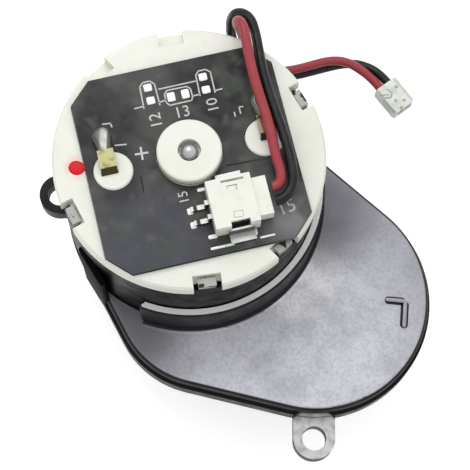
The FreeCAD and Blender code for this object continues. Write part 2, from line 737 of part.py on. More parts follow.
def motor_screw(place, grow=0.0, top=MOTOR_SCREW_TOP):
    """A countersunk screw up through the seat floor, or its hole when grown."""
    head = Part.makeCone(MOTOR_SCREW_HEAD_R + grow, MOTOR_SCREW_R + grow, MOTOR_SCREW_HEAD_HEIGHT,
                         Vector(place.x, place.y, SEAT_FLOOR), UP)
    return head.fuse(cylinder(MOTOR_SCREW_R + grow, SEAT_FLOOR, top, place))


def motor_screws():
    return Part.makeCompound([
        motor_screw(place).cut(cross_recess(place, SEAT_FLOOR)).removeSplitter()
        for place in motor_screw_places()])


# Output shaft and its bearings

def output_shaft():
    journal = cylinder(JOURNAL_R, JOURNAL_BOTTOM, SLOW_WHEEL_BOTTOM, POST)
    seat = turned(double_flat(GEAR_SEAT_R, GEAR_SEAT_FLAT, SLOW_WHEEL_BOTTOM, OUTPUT_HUB_TOP),
                  0, POST)
    pilot = cylinder(PILOT_R, OUTPUT_HUB_TOP, PILOT_TOP, POST)
    half = POST_SQUARE / 2
    square = turned(block(-half, half, -half, half, POST_BOTTOM, JOURNAL_BOTTOM),
                    LAYOUT_ANGLE, POST)
    square = rounded(square, POST_CHAMFER, POST_BOTTOM)
    shaft = journal.fuse([seat, pilot, square])
    hole = cylinder(POST_SCREW_R, POST_BOTTOM, POST_BOTTOM + POST_SCREW_DEPTH, POST)
    return shaft.cut(hole).removeSplitter()


def output_bush():
    bush = tube(LOWER_BUSH_R, JOURNAL_R + JOURNAL_CLEARANCE, LOWER_BUSH_BOTTOM,
                -COVER_DEPTH + COVER_FLOOR, POST)
    flange = tube(BUSH_FLANGE_R, JOURNAL_R + JOURNAL_CLEARANCE, -COVER_DEPTH + COVER_FLOOR,
                  SLOW_WHEEL_BOTTOM - OUTPUT_END_PLAY, POST)
    return bush.fuse(flange).removeSplitter()


def upper_bush():
    return tube(UPPER_BUSH_R, PILOT_R + JOURNAL_CLEARANCE, UPPER_BUSH_BOTTOM, UPPER_BUSH_TOP, POST)


def output_seal():
    return tube(SEAL_R, JOURNAL_R + SEAL_CLEARANCE, POST_BOSS_BOTTOM, LOWER_BUSH_BOTTOM, POST)


def output_washer():
    return tube(WASHER_R, PILOT_R, OUTPUT_HUB_TOP, OUTPUT_HUB_TOP + WASHER_THICKNESS, POST)


def intermediate_axle():
    return cylinder(AXLE_R, AXLE_BOTTOM, AXLE_TOP, IDLER)


# Motor

def motor_can():
    front_top = SEAT_Z + CAN_WALL
    can = rounded(cylinder(CAN_R, SEAT_Z, CAN_TOP), CAN_EDGE_R, SEAT_Z)
    can = can.fuse(cylinder(FRONT_BOSS_R, SEAT_FLOOR, SEAT_Z))
    can = can.cut([cylinder(CAN_BORE_R, front_top, CAN_TOP),
                   cylinder(BEARING_R, FRONT_BEARING_BOTTOM, front_top),
                   cylinder(FRONT_BOSS_LIP_R, SEAT_FLOOR, front_top)])
    can = can.cut([cylinder(MOTOR_SCREW_R + SCREW_PILOT_CLEARANCE, SEAT_Z, front_top, place)
                   for place in motor_screw_places()])
    for angle in TAB_ANGLES:
        post = block(CAN_BORE_R, CAN_R, -TAB_WIDTH / 2, TAB_WIDTH / 2, CAN_TOP, TAB_TOP)
        fold = block(CAN_R - TAB_FOLD, CAN_R, -TAB_WIDTH / 2, TAB_WIDTH / 2, NOTCH_FLOOR, TAB_TOP)
        inside = Part.makeCylinder(CAN_R, TAB_TOP, Vector(0, 0, 0), UP)
        tab = post.fuse(fold).common(inside)
        bore = Part.makeCylinder(CAN_BORE_R, NOTCH_FLOOR, Vector(0, 0, 0), UP)
        can = can.fuse(turned(tab.cut(bore), angle))
    return can.removeSplitter()


def front_bearing():
    return tube(BEARING_R, SHAFT_R + BEARING_CLEARANCE, FRONT_BEARING_BOTTOM,
                FRONT_BEARING_BOTTOM + BEARING_LENGTH)


def magnet(middle):
    piece = sector(MAGNET_R, MAGNET_R - MAGNET_THICKNESS, MAGNET_BOTTOM, MAGNET_TOP,
                   -MAGNET_HALF_ANGLE, MAGNET_HALF_ANGLE)
    return turned(piece, middle)


def magnet_clip():
    """The bent spring wire that pushes the two magnets apart, seen as a thin arc."""
    reach = 90 - MAGNET_HALF_ANGLE
    bow = sector(MAGNET_R, MAGNET_R - CLIP_THICKNESS, MAGNET_BOTTOM, MAGNET_TOP, -reach, reach)
    lips = [sector(MAGNET_R, MAGNET_R - MAGNET_THICKNESS, MAGNET_BOTTOM, MAGNET_TOP,
                   start, start + CLIP_LIP) for start in (-reach, reach - CLIP_LIP)]
    return turned(bow.fuse(lips).removeSplitter(), MAGNET_AXIS_ANGLE + 90)


def armature_core():
    parts = [Part.makeCylinder(CORE_HUB_R, CORE_TOP - CORE_BOTTOM, Vector(0, 0, CORE_BOTTOM), UP)]
    for index in range(POLES):
        angle = index * 360 / POLES
        arm = block(0, CORE_R - POLE_SHOE / 2, -POLE_WIDTH / 2, POLE_WIDTH / 2,
                    CORE_BOTTOM, CORE_TOP)
        shoe = sector(CORE_R, CORE_R - POLE_SHOE, CORE_BOTTOM, CORE_TOP,
                      -POLE_HALF_ANGLE, POLE_HALF_ANGLE)
        for piece in (arm, shoe):
            piece.rotate(Vector(0, 0, 0), UP, angle)
            parts.append(piece)
    core = parts[0].fuse(parts[1:])
    core = core.cut(Part.makeCylinder(SHAFT_R, CORE_TOP, Vector(0, 0, 0), UP))
    return turned(core.removeSplitter(), MAGNET_AXIS_ANGLE)


def coil(index):
    coil_end = CORE_R - POLE_SHOE - COIL_SHOE_GAP
    coil_start = coil_end - COIL_LENGTH
    outer = block(coil_start, coil_end, -COIL_HALF_WIDTH, COIL_HALF_WIDTH,
                  CORE_BOTTOM - COIL_OVERHANG, CORE_TOP + COIL_OVERHANG)
    edges = [edge for edge in outer.Edges if abs(edge.tangentAt(edge.FirstParameter).x) > 0.99]
    outer = outer.makeFillet(COIL_CORNER_R, edges)
    inner = block(coil_start, coil_end, -POLE_WIDTH / 2, POLE_WIDTH / 2, CORE_BOTTOM, CORE_TOP)
    return turned(outer.cut(inner), MAGNET_AXIS_ANGLE + index * 360 / POLES)


def motor_shaft():
    shaft = cylinder(SHAFT_R, SHAFT_BOTTOM, SHAFT_TOP)
    dome = Part.makeSphere(SHAFT_DOME_R, Vector(MOTOR.x, MOTOR.y, SHAFT_TOP - SHAFT_DOME_R))
    body = cylinder(SHAFT_R, SHAFT_BOTTOM, SHAFT_TOP - SHAFT_DOME_R)
    return shaft.common(body.fuse(dome)).removeSplitter()


def commutator_bar(index):
    bar = sector(COMMUTATOR_R, COMMUTATOR_HUB_R, COMMUTATOR_BOTTOM, COMMUTATOR_TOP,
                 -BAR_HALF_ANGLE, BAR_HALF_ANGLE)
    return turned(bar, MAGNET_AXIS_ANGLE + 60 + index * 360 / POLES)


def commutator_hub():
    return tube(COMMUTATOR_HUB_R, SHAFT_R, CORE_TOP, COMMUTATOR_TOP)


def front_spacer():
    return tube(SPACER_R, SHAFT_R, SPACER_BOTTOM, CORE_BOTTOM)


def front_washer():
    bottom = FRONT_BEARING_BOTTOM + BEARING_LENGTH + THRUST_GAP
    return tube(THRUST_WASHER_R, SHAFT_R, bottom, bottom + THRUST_WASHER_THICKNESS)


def rear_washer():
    return tube(THRUST_WASHER_R, SHAFT_R, COMMUTATOR_TOP, COMMUTATOR_TOP + THRUST_WASHER_THICKNESS)


def rear_bearing():
    top = HUB_TOP - 1.0
    return tube(BEARING_R, SHAFT_R + BEARING_CLEARANCE, top - BEARING_LENGTH, top)


def board_outline(grow, bottom, top):
    left, right = BOARD_LEFT - grow, BOARD_RIGHT + grow
    front, back = BOARD_FRONT - grow, BOARD_BACK + grow
    cut = BOARD_CUT + grow * (2 - math.sqrt(2))
    corners = ((left + cut, front), (right - cut, front), (right, front + cut),
               (right, back - cut), (right - cut, back), (left + cut, back),
               (left, back - cut), (left, front + cut))
    return turned(prism(corners, bottom, top), BOARD_ANGLE)


def notch(width, inner, floor, angle):
    return turned(block(inner, BELL_R + 1, -width / 2, width / 2, floor, BELL_TOP + 1), angle)


def terminal_boss(side):
    """A round stand through the board that keeps the terminal away from its copper."""
    boss = Part.makeCylinder(TERMINAL_BOSS_R, TERMINAL_BOSS_TOP - CAN_TOP,
                             Vector(side * TERMINAL_X, 0, CAN_TOP), UP)
    rim = [edge for edge in boss.Edges if edge.BoundBox.ZMin > TERMINAL_BOSS_TOP - POINT]
    return turned(boss.makeChamfer(TERMINAL_BOSS_EDGE, rim), BOARD_ANGLE)


def end_bell():
    spigot_r = CAN_BORE_R - BELL_SPIGOT_CLEARANCE
    disc = cylinder(BELL_R, CAN_TOP, BELL_TOP)
    disc = disc.makeChamfer(BELL_EDGE, [edge for edge in disc.Edges
                                        if abs(edge.BoundBox.ZMin - BELL_TOP) < POINT])
    spigot = tube(spigot_r, spigot_r - BELL_SPIGOT_WALL, CAN_TOP - BELL_SPIGOT_DEPTH, CAN_TOP)
    hub = rounded(cylinder(HUB_R, CAN_TOP, HUB_TOP), HUB_EDGE_R, HUB_TOP)
    pocket = board_outline(BOARD_CLEARANCE, BOARD_TOP - BOARD_THICKNESS, BELL_TOP + 1)
    bosses = [terminal_boss(side) for side in (-1, 1)]
    bell = disc.cut(pocket).fuse([spigot, hub] + bosses)
    bearing_top = HUB_TOP - BEARING_ROOF
    cuts = [cylinder(BEARING_R, CAN_TOP, bearing_top),
            cylinder(HUB_HOLE_R, bearing_top, HUB_TOP)]
    for angle in TAB_ANGLES:
        cuts.append(notch(TAB_NOTCH_WIDTH, CAN_R - TAB_NOTCH_DEPTH, NOTCH_FLOOR, angle))
        cuts.append(notch(TAB_NOTCH_WIDTH, CAN_BORE_R, CAN_TOP, angle))
    for angle in OPEN_NOTCH_ANGLES:
        cuts.append(notch(OPEN_NOTCH_WIDTH, BELL_R - OPEN_NOTCH_DEPTH, NOTCH_FLOOR, angle))
    for side in (-1, 1):
        cuts.append(turned(terminal_slot(side), BOARD_ANGLE))
    return bell.cut(cuts).removeSplitter()


# Terminals and brushes, in the board's own axes

def terminal_middle(side):
    return side * (TERMINAL_X + TERMINAL_SHIFT_X)


def terminal_slot(side):
    middle = terminal_middle(side)
    half = TERMINAL_HALF_WIDTH + TERMINAL_CLEARANCE
    return block(middle - half, middle + half,
                 -TERMINAL_THICKNESS - TERMINAL_CLEARANCE, TERMINAL_CLEARANCE,
                 CAN_TOP - BELL_SPIGOT_DEPTH, TERMINAL_BOSS_TOP)


def terminal(side):
    """A tab that rises through the bell's boss, leans back and lies flat to its pad."""
    middle = terminal_middle(side)
    left, right = middle - TERMINAL_HALF_WIDTH, middle + TERMINAL_HALF_WIDTH
    rise = TERMINAL_TOP - TERMINAL_KNEE
    lean = math.atan2(rise, TERMINAL_LEAN)
    knee_inset = TERMINAL_THICKNESS * math.tan((math.pi / 2 - lean) / 2)
    bend_inset = TERMINAL_THICKNESS * math.tan(lean / 2)
    front, under = -TERMINAL_THICKNESS, TERMINAL_TOP - TERMINAL_THICKNESS
    side_view = [(front, TERMINAL_FOOT), (front, TERMINAL_KNEE),
                 (front + TERMINAL_LEAN, TERMINAL_TOP), (TERMINAL_REACH, TERMINAL_TOP),
                 (TERMINAL_REACH, under), (front + TERMINAL_LEAN + bend_inset, under),
                 (0, TERMINAL_KNEE - knee_inset), (0, TERMINAL_FOOT)]
    corners = [Vector(left, y, z) for y, z in side_view]
    face = Part.Face(Part.makePolygon(corners + [corners[0]]))
    strip = face.extrude(Vector(right - left, 0, 0))
    foot = block(left, right, front, ARM_Y, TERMINAL_FOOT, TERMINAL_FOOT + TERMINAL_THICKNESS)
    return turned(strip.fuse(foot).removeSplitter(), BOARD_ANGLE)


def brush_arm(side):
    """A leaf from the terminal's foot to the back of the brush."""
    foot_top = TERMINAL_FOOT + TERMINAL_THICKNESS
    outer = TERMINAL_X + ARM_OVERLAP
    brush_back = COMMUTATOR_R + BRUSH_GAP + BRUSH_LENGTH
    across = block(brush_back, outer, ARM_Y - ARM_THICKNESS, ARM_Y, foot_top,
                   ARM_Z + ARM_HALF_HEIGHT)
    leaf = block(brush_back, brush_back + ARM_THICKNESS, -ARM_TAIL, ARM_Y, foot_top,
                 ARM_Z + ARM_HALF_HEIGHT)
    arm = across.fuse(leaf).removeSplitter()
    if side < 0:
        arm = arm.mirror(Vector(0, 0, 0), Vector(1, 0, 0))
    return turned(arm, BOARD_ANGLE)


def brush(side):
    inner = COMMUTATOR_R + BRUSH_GAP
    piece = block(inner - BRUSH_WRAP, inner + BRUSH_LENGTH, -BRUSH_HALF_WIDTH, BRUSH_HALF_WIDTH,
                  ARM_Z - BRUSH_HALF_HEIGHT + BRUSH_FOOT_GAP, ARM_Z + BRUSH_HALF_HEIGHT)
    piece = piece.cut(Part.makeCylinder(inner, HUB_TOP, Vector(0, 0, 0), UP))
    if side < 0:
        piece = piece.mirror(Vector(0, 0, 0), Vector(1, 0, 0))
    return turned(piece, BOARD_ANGLE)


# Circuit board and what is soldered on it

def circuit_board():
    bottom = BOARD_TOP - BOARD_THICKNESS
    board = board_outline(0, bottom, BOARD_TOP)
    holes = [cylinder(HUB_R + BOARD_HUB_CLEARANCE, bottom, BOARD_TOP)]
    for side in (-1, 1):
        holes.append(turned(Part.makeCylinder(TERMINAL_HOLE_R, BOARD_THICKNESS,
                                              Vector(side * TERMINAL_X, 0, bottom), UP),
                            BOARD_ANGLE))
    return board.cut(holes)


def solder_joint(side):
    """The pear-shaped bead that ties a folded terminal to its pad."""
    centre = Vector(terminal_middle(side), JOINT_BACK - JOINT_R, BOARD_TOP)
    neck = Vector(centre.x + JOINT_NECK, TERMINAL_REACH, BOARD_TOP)
    toward = neck - centre
    tangent = math.atan2(toward.y, toward.x) + math.acos(JOINT_R / toward.Length)
    touch = centre + Vector(math.cos(tangent), math.sin(tangent), 0) * JOINT_R
    neck_left = Vector(2 * centre.x - neck.x, neck.y, BOARD_TOP)
    touch_left = Vector(2 * centre.x - touch.x, touch.y, BOARD_TOP)
    outline = Part.Wire([
        Part.Arc(touch, centre + Vector(0, JOINT_R, 0), touch_left).toShape(),
        Part.LineSegment(touch_left, neck_left).toShape(),
        Part.LineSegment(neck_left, neck).toShape(),
        Part.LineSegment(neck, touch).toShape()])
    bead = Part.Face(outline).extrude(UP * JOINT_HEIGHT)
    upper = [edge for edge in bead.Edges
             if edge.BoundBox.ZMin > BOARD_TOP + POINT
             and edge.BoundBox.YMax > TERMINAL_REACH + POINT]
    return turned(bead.makeFillet(JOINT_ROUND, upper), BOARD_ANGLE)


def header_levels():
    inner_bottom = BOARD_TOP + HEADER_FLOOR
    inner_top = BOARD_TOP + HEADER_HEIGHT - HEADER_FLOOR
    return inner_bottom, inner_top


def socket_header():
    inner_bottom, inner_top = header_levels()
    body = block(HEADER_LEFT, HEADER_RIGHT, HEADER_FRONT, HEADER_BACK,
                 BOARD_TOP, BOARD_TOP + HEADER_HEIGHT)
    cavity = block(HEADER_LEFT + HEADER_END_WALL, HEADER_RIGHT, HEADER_FRONT + HEADER_WALL,
                   HEADER_BACK - HEADER_WALL, inner_bottom, inner_top)
    body = body.cut(cavity)
    for row in (-1, 1):
        y = (HEADER_FRONT + HEADER_BACK) / 2 + row * PLUG_PITCH / 2
        body = body.cut(header_pin_bar(y))
    window = block(WINDOW_LEFT, WINDOW_RIGHT, HEADER_FRONT, HEADER_FRONT + HEADER_WALL,
                   inner_bottom + LATCH_RISE, BOARD_TOP + HEADER_HEIGHT)
    return turned(body.cut(window).removeSplitter(), BOARD_ANGLE)


def header_pin_bar(y):
    middle = BOARD_TOP + HEADER_HEIGHT / 2
    return block(PIN_KNEE, PIN_TIP, y - PIN_HALF_WIDTH, y + PIN_HALF_WIDTH,
                 middle - PIN_THICKNESS / 2, middle + PIN_THICKNESS / 2)


def header_pin(row):
    y = (HEADER_FRONT + HEADER_BACK) / 2 + row * PLUG_PITCH / 2
    bar = header_pin_bar(y)
    middle = BOARD_TOP + HEADER_HEIGHT / 2
    drop = block(PIN_KNEE, PIN_KNEE + PIN_THICKNESS, y - PIN_HALF_WIDTH,
                 y + PIN_HALF_WIDTH, BOARD_TOP, middle)
    toe = block(PIN_TOE, PIN_KNEE + PIN_THICKNESS, y - PIN_HALF_WIDTH,
                y + PIN_HALF_WIDTH, BOARD_TOP, BOARD_TOP + PIN_THICKNESS)
    return turned(bar.fuse([drop, toe]).removeSplitter(), BOARD_ANGLE)


def header_tab(row):
    """The mounting tab soldered to the board on one flank of the header."""
    flank = HEADER_BACK if row > 0 else HEADER_FRONT
    outer = flank + row * TAB_REACH
    foot = block(TAB_LEFT, TAB_RIGHT, min(flank, outer), max(flank, outer),
                 BOARD_TOP, BOARD_TOP + TAB_PLATE)
    lip = flank + row * TAB_PLATE
    plate = block(TAB_LEFT, TAB_RIGHT, min(flank, lip), max(flank, lip),
                  BOARD_TOP, BOARD_TOP + TAB_HEIGHT)
    return turned(foot.fuse(plate).removeSplitter(), BOARD_ANGLE)


def plug_wire_hole(row, grow):
    y = (HEADER_FRONT + HEADER_BACK) / 2 + row * PLUG_PITCH / 2
    middle = BOARD_TOP + HEADER_HEIGHT / 2
    return Part.makeCylinder(WIRE_R + grow, PLUG_HOLE_DEPTH,
                             Vector(PLUG_RIGHT - PLUG_HOLE_DEPTH, y, middle), Vector(1, 0, 0))


def wire_plug():
    inner_bottom, inner_top = header_levels()
    body = block(HEADER_LEFT + HEADER_END_WALL + PLUG_CLEARANCE, PLUG_RIGHT,
                 HEADER_FRONT + HEADER_WALL + PLUG_CLEARANCE,
                 HEADER_BACK - HEADER_WALL - PLUG_CLEARANCE,
                 inner_bottom + PLUG_CLEARANCE, inner_top - PLUG_CLEARANCE)
    for row in (-1, 1):
        y = (HEADER_FRONT + HEADER_BACK) / 2 + row * PLUG_PITCH / 2
        body = body.cut([header_pin_bar(y), plug_wire_hole(row, WIRE_HOLE_CLEARANCE)])
    latch = block(WINDOW_LEFT, WINDOW_RIGHT, HEADER_FRONT + HEADER_WALL,
                  HEADER_FRONT + HEADER_WALL + PLUG_CLEARANCE + LATCH_DEPTH,
                  inner_bottom + LATCH_RISE, inner_top)
    return turned(body.cut(latch), BOARD_ANGLE)


# Wires and the end plug

def wire(route, name):
    """Straight runs joined by tangent arcs, as large as the runs allow."""
    points = [Vector(*point) for point in route]
    edges = []
    radii = []
    start = points[0]
    for before, corner, after in zip(points, points[1:], points[2:]):
        arriving, leaving = corner - before, after - corner
        turn = arriving.getAngle(leaving)
        back = LOOSE_BEND * min(arriving.Length, leaving.Length)
        radii.append(back / math.tan(turn / 2))
        enter = corner - arriving.normalize() * back
        leave = corner + leaving.normalize() * back
        inward = ((enter + leave) * 0.5 - corner).normalize()
        centre_reach = radii[-1] / math.cos(turn / 2)
        middle = corner + inward * (centre_reach - radii[-1])
        edges.append(Part.LineSegment(start, enter).toShape())
        edges.append(Part.Arc(enter, middle, leave).toShape())
        start = leave
    edges.append(Part.LineSegment(start, points[-1]).toShape())
    path = Part.Wire(edges)
    heading = (points[1] - points[0]).normalize()
    section = Part.Wire(Part.makeCircle(WIRE_R, points[0], heading))
    solid = path.makePipeShell([section], True, True)
    expected = math.pi * WIRE_R**2 * path.Length
    print(f"{name}: length {path.Length:.2f}, radii {[round(r, 1) for r in radii]},",
          f"volume ratio {solid.Volume / expected:.4f}")
    return solid


def end_plug_frame(shape):
    """From the plug's own axes, mating end along +X, to where the wires end."""
    tail = (Vector(*RED_ROUTE[-1]) + Vector(*BLACK_ROUTE[-1])) * 0.5
    moved = turned(shape, END_PLUG_ANGLE, Vector(tail.x, tail.y, 0))
    moved.translate(Vector(0, 0, tail.z))
    return moved


def end_plug():
    half = END_PLUG_WIDTH / 2
    body = block(0, END_PLUG_LENGTH, -half, half, -END_PLUG_HEIGHT / 2, END_PLUG_HEIGHT / 2)
    body = body.makeChamfer(END_PLUG_EDGE, [
        edge for edge in body.Edges if abs(edge.tangentAt(edge.FirstParameter).x) > 0.99])
    body = body.cut([turned(block(0, END_PLUG_WIDTH, -END_PLUG_WIDTH, END_PLUG_WIDTH,
                                  -END_PLUG_HEIGHT, END_PLUG_HEIGHT), side * 45,
                            Vector(END_PLUG_LENGTH, side * (half - END_PLUG_CORNER), 0))
                     for side in (-1, 1)])
    for row in (-1, 1):
        y = row * END_PITCH / 2
        body = body.cut(block(END_PLUG_LENGTH - END_CAVITY_DEPTH, END_PLUG_LENGTH,
                              y - END_CAVITY_HALF, y + END_CAVITY_HALF,
                              -END_CAVITY_HALF, END_CAVITY_HALF))
    return end_plug_frame(body)


def end_contact(row):
    y = row * END_PITCH / 2
    front, back = END_PLUG_LENGTH - END_CONTACT_SET_BACK, END_PLUG_LENGTH - END_CAVITY_DEPTH
    inner = END_CONTACT_HALF - END_CONTACT_WALL
    shell = block(back, front, y - END_CONTACT_HALF, y + END_CONTACT_HALF,
                  -END_CAVITY_HALF, -END_CAVITY_HALF + 2 * END_CONTACT_HALF)
    hollow = block(back + END_CONTACT_END, front, y - inner, y + inner,
                   -END_CAVITY_HALF + END_CONTACT_WALL,
                   -END_CAVITY_HALF + 2 * END_CONTACT_HALF - END_CONTACT_WALL)
    return end_plug_frame(shell.cut(hollow))


os.makedirs("parts", exist_ok=True)

save("gear_case", gear_case())
save("gear_cover", gear_cover())
save("cover_screws", cover_screws())
save("motor_screws", motor_screws())
save("motor_pinion", motor_pinion())
save("intermediate_gear", intermediate_gear())
save("intermediate_axle", intermediate_axle())
save("output_gear", output_gear())
save("output_shaft", output_shaft())
save("output_bush", output_bush())
save("upper_bush", upper_bush())
save("output_seal", output_seal())
save("output_washer", output_washer())
save("motor_can", motor_can())
save("front_bearing", front_bearing())
save("rear_bearing", rear_bearing())
save("magnet_1", magnet(MAGNET_AXIS_ANGLE))
save("magnet_2", magnet(MAGNET_AXIS_ANGLE + 180))
save("magnet_clip", magnet_clip())
save("motor_shaft", motor_shaft())
save("armature_core", armature_core())
for number in range(POLES):
    save(f"coil_{number + 1}", coil(number))
    save(f"commutator_bar_{number + 1}", commutator_bar(number))
save("commutator_hub", commutator_hub())
save("front_spacer", front_spacer())
save("front_washer", front_washer())
save("rear_washer", rear_washer())
save("end_bell", end_bell())
for number, side in ((1, -1), (2, 1)):
    save(f"terminal_{number}", terminal(side))
    save(f"brush_arm_{number}", brush_arm(side))
    save(f"brush_{number}", brush(side))
    save(f"solder_joint_{number}", solder_joint(side))
    save(f"header_pin_{number}", header_pin(side))
    save(f"header_tab_{number}", header_tab(side))
    save(f"end_contact_{number}", end_contact(side))
save("circuit_board", circuit_board())
save("socket_header", socket_header())
save("wire_plug", wire_plug())
save("red_wire", wire(RED_ROUTE, "red_wire"))
save("black_wire", wire(BLACK_ROUTE, "black_wire"))
save("end_plug", end_plug())
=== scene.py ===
import math

import bpy
from mathutils import Matrix, Vector


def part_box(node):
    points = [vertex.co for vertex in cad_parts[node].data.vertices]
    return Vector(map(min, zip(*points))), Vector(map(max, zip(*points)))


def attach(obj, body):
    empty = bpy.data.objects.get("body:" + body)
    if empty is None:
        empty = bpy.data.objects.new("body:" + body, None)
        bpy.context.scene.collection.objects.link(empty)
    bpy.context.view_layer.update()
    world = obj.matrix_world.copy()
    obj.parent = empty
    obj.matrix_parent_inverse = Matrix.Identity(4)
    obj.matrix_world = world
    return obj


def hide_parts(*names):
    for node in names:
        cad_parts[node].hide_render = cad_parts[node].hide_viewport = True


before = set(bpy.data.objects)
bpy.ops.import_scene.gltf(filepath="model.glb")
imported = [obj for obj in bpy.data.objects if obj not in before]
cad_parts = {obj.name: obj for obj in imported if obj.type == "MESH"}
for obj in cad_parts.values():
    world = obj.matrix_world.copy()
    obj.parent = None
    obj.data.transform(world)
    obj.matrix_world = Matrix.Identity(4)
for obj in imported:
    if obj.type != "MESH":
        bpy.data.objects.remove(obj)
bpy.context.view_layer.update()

# The table and the light. The part stands on a plain white table top, under one broad soft
# lamp above and behind the motor and a room that is bright overhead and dim at eye level.
MM = 0.001
view_settings = bpy.context.scene.view_settings
view_settings.view_transform = "Standard"
FLOOR_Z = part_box("output_shaft")[0].z
FLOOR_SIZE = 3.0
FLOOR_GREY = 0.8
FLOOR_ROUGHNESS = 0.7
FLOOR_LIFT = 0.56
ROOM_LEVEL = 0.34
ROOM_OVERHEAD = 1.05
LAMP_WATTS = 0.22
LAMP_SIZE = 0.16
LAMP_PLACE = (-0.13, 0.08, 0.26)
LAMP_AIM = (0.0, 0.01, 0.01)


def nothing_selected():
    """Leave edit mode and clear the selection, since an operator acts on all that is selected."""
    if bpy.context.object and bpy.context.object.mode != "OBJECT":
        bpy.ops.object.mode_set(mode="OBJECT")
    bpy.ops.object.select_all(action="DESELECT")


nothing_selected()
bpy.ops.mesh.primitive_plane_add(size=FLOOR_SIZE, location=(0, 0, FLOOR_Z))
floor = bpy.context.object
floor.name = "table_top"
bpy.ops.object.transform_apply(location=True, rotation=True, scale=True)

table_paint = bpy.data.materials.new("table_paint")
table_paint.use_nodes = True
table_nodes = table_paint.node_tree.nodes
table_links = table_paint.node_tree.links
table_shader = table_nodes["Principled BSDF"]
table_shader.inputs["Base Color"].default_value = (FLOOR_GREY, FLOOR_GREY, FLOOR_GREY, 1)
table_shader.inputs["Roughness"].default_value = FLOOR_ROUGHNESS
table_lift = table_nodes.new("ShaderNodeEmission")
table_sum = table_nodes.new("ShaderNodeAddShader")


def looked_at(nodes, links):
    """One where the eye, a mirror or a clear piece looks straight at a surface, else none."""
    path = nodes.new("ShaderNodeLightPath")
    found = path.outputs["Is Camera Ray"]
    for ray in ("Is Glossy Ray", "Is Transmission Ray"):
        either = nodes.new("ShaderNodeMath")
        either.operation = "MAXIMUM"
        links.new(found, either.inputs[0])
        links.new(path.outputs[ray], either.inputs[1])
        found = either.outputs[0]
    return found


lift_level = table_nodes.new("ShaderNodeMath")
lift_level.operation = "MULTIPLY"
lift_level.inputs[1].default_value = FLOOR_LIFT
table_links.new(looked_at(table_nodes, table_links), lift_level.inputs[0])
table_links.new(lift_level.outputs[0], table_lift.inputs["Strength"])
table_links.new(table_shader.outputs[0], table_sum.inputs[0])
table_links.new(table_lift.outputs[0], table_sum.inputs[1])
table_links.new(table_sum.outputs[0], table_nodes["Material Output"].inputs["Surface"])
floor.data.materials.append(table_paint)

room = bpy.data.worlds.new("bright_room")
bpy.context.scene.world = room
room.use_nodes = True
room_nodes = room.node_tree.nodes
room_links = room.node_tree.links
room_light = room_nodes["Background"]
room_light.inputs["Color"].default_value = (1, 1, 1, 1)
room_way = room_nodes.new("ShaderNodeTexCoord")
room_split = room_nodes.new("ShaderNodeSeparateXYZ")
room_rise = room_nodes.new("ShaderNodeMapRange")
room_rise.inputs["To Min"].default_value = ROOM_LEVEL
room_rise.inputs["To Max"].default_value = ROOM_OVERHEAD
room_links.new(room_way.outputs["Generated"], room_split.inputs["Vector"])
room_links.new(room_split.outputs["Z"], room_rise.inputs["Value"])
room_links.new(room_rise.outputs["Result"], room_light.inputs["Strength"])
room_seen = room_nodes.new("ShaderNodeBackground")
room_seen.inputs["Color"].default_value = (1, 1, 1, 1)
room_mix = room_nodes.new("ShaderNodeMixShader")
room_links.new(looked_at(room_nodes, room_links), room_mix.inputs["Fac"])
room_links.new(room_light.outputs[0], room_mix.inputs[1])
room_links.new(room_seen.outputs[0], room_mix.inputs[2])
room_links.new(room_mix.outputs[0], room_nodes["World Output"].inputs["Surface"])

lamp_data = bpy.data.lights.new("soft_lamp", "AREA")
lamp_data.shape = "SQUARE"
lamp_data.size = LAMP_SIZE
lamp_data.energy = LAMP_WATTS
lamp = bpy.data.objects.new("soft_lamp", lamp_data)
bpy.context.collection.objects.link(lamp)
lamp.location = LAMP_PLACE
lamp_heading = Vector(LAMP_AIM) - Vector(LAMP_PLACE)
lamp.rotation_euler = lamp_heading.to_track_quat("-Z", "Y").to_euler()

# The camera looks down on the end bell, a little from the far side of the brush post,
# with the long lens that keeps the motor and the gear case in nearly one scale.
CAMERA_PLACE = (0.03137, -0.029227, 0.187147)
CAMERA_RIGHT = Vector((0.71794, 0.69573, 0.02281))
CAMERA_FORWARD = Vector((-0.17643, 0.21356, -0.96087))
SENSOR_WIDTH = 36.0
LENS = 114.9
NEAREST = 0.01
camera_data = bpy.data.cameras.new("photo_camera")
camera_data.sensor_width = SENSOR_WIDTH
camera_data.lens = LENS
camera_data.clip_start = NEAREST
camera = bpy.data.objects.new("photo_camera", camera_data)
bpy.context.collection.objects.link(camera)
camera_back = -CAMERA_FORWARD.normalized()
camera_right = (CAMERA_RIGHT - camera_back * CAMERA_RIGHT.dot(camera_back)).normalized()
camera_up = camera_back.cross(camera_right)
camera.matrix_world = Matrix.Translation(CAMERA_PLACE) @ Matrix(
    (camera_right, camera_up, camera_back)
).transposed().to_4x4()
bpy.context.scene.camera = camera

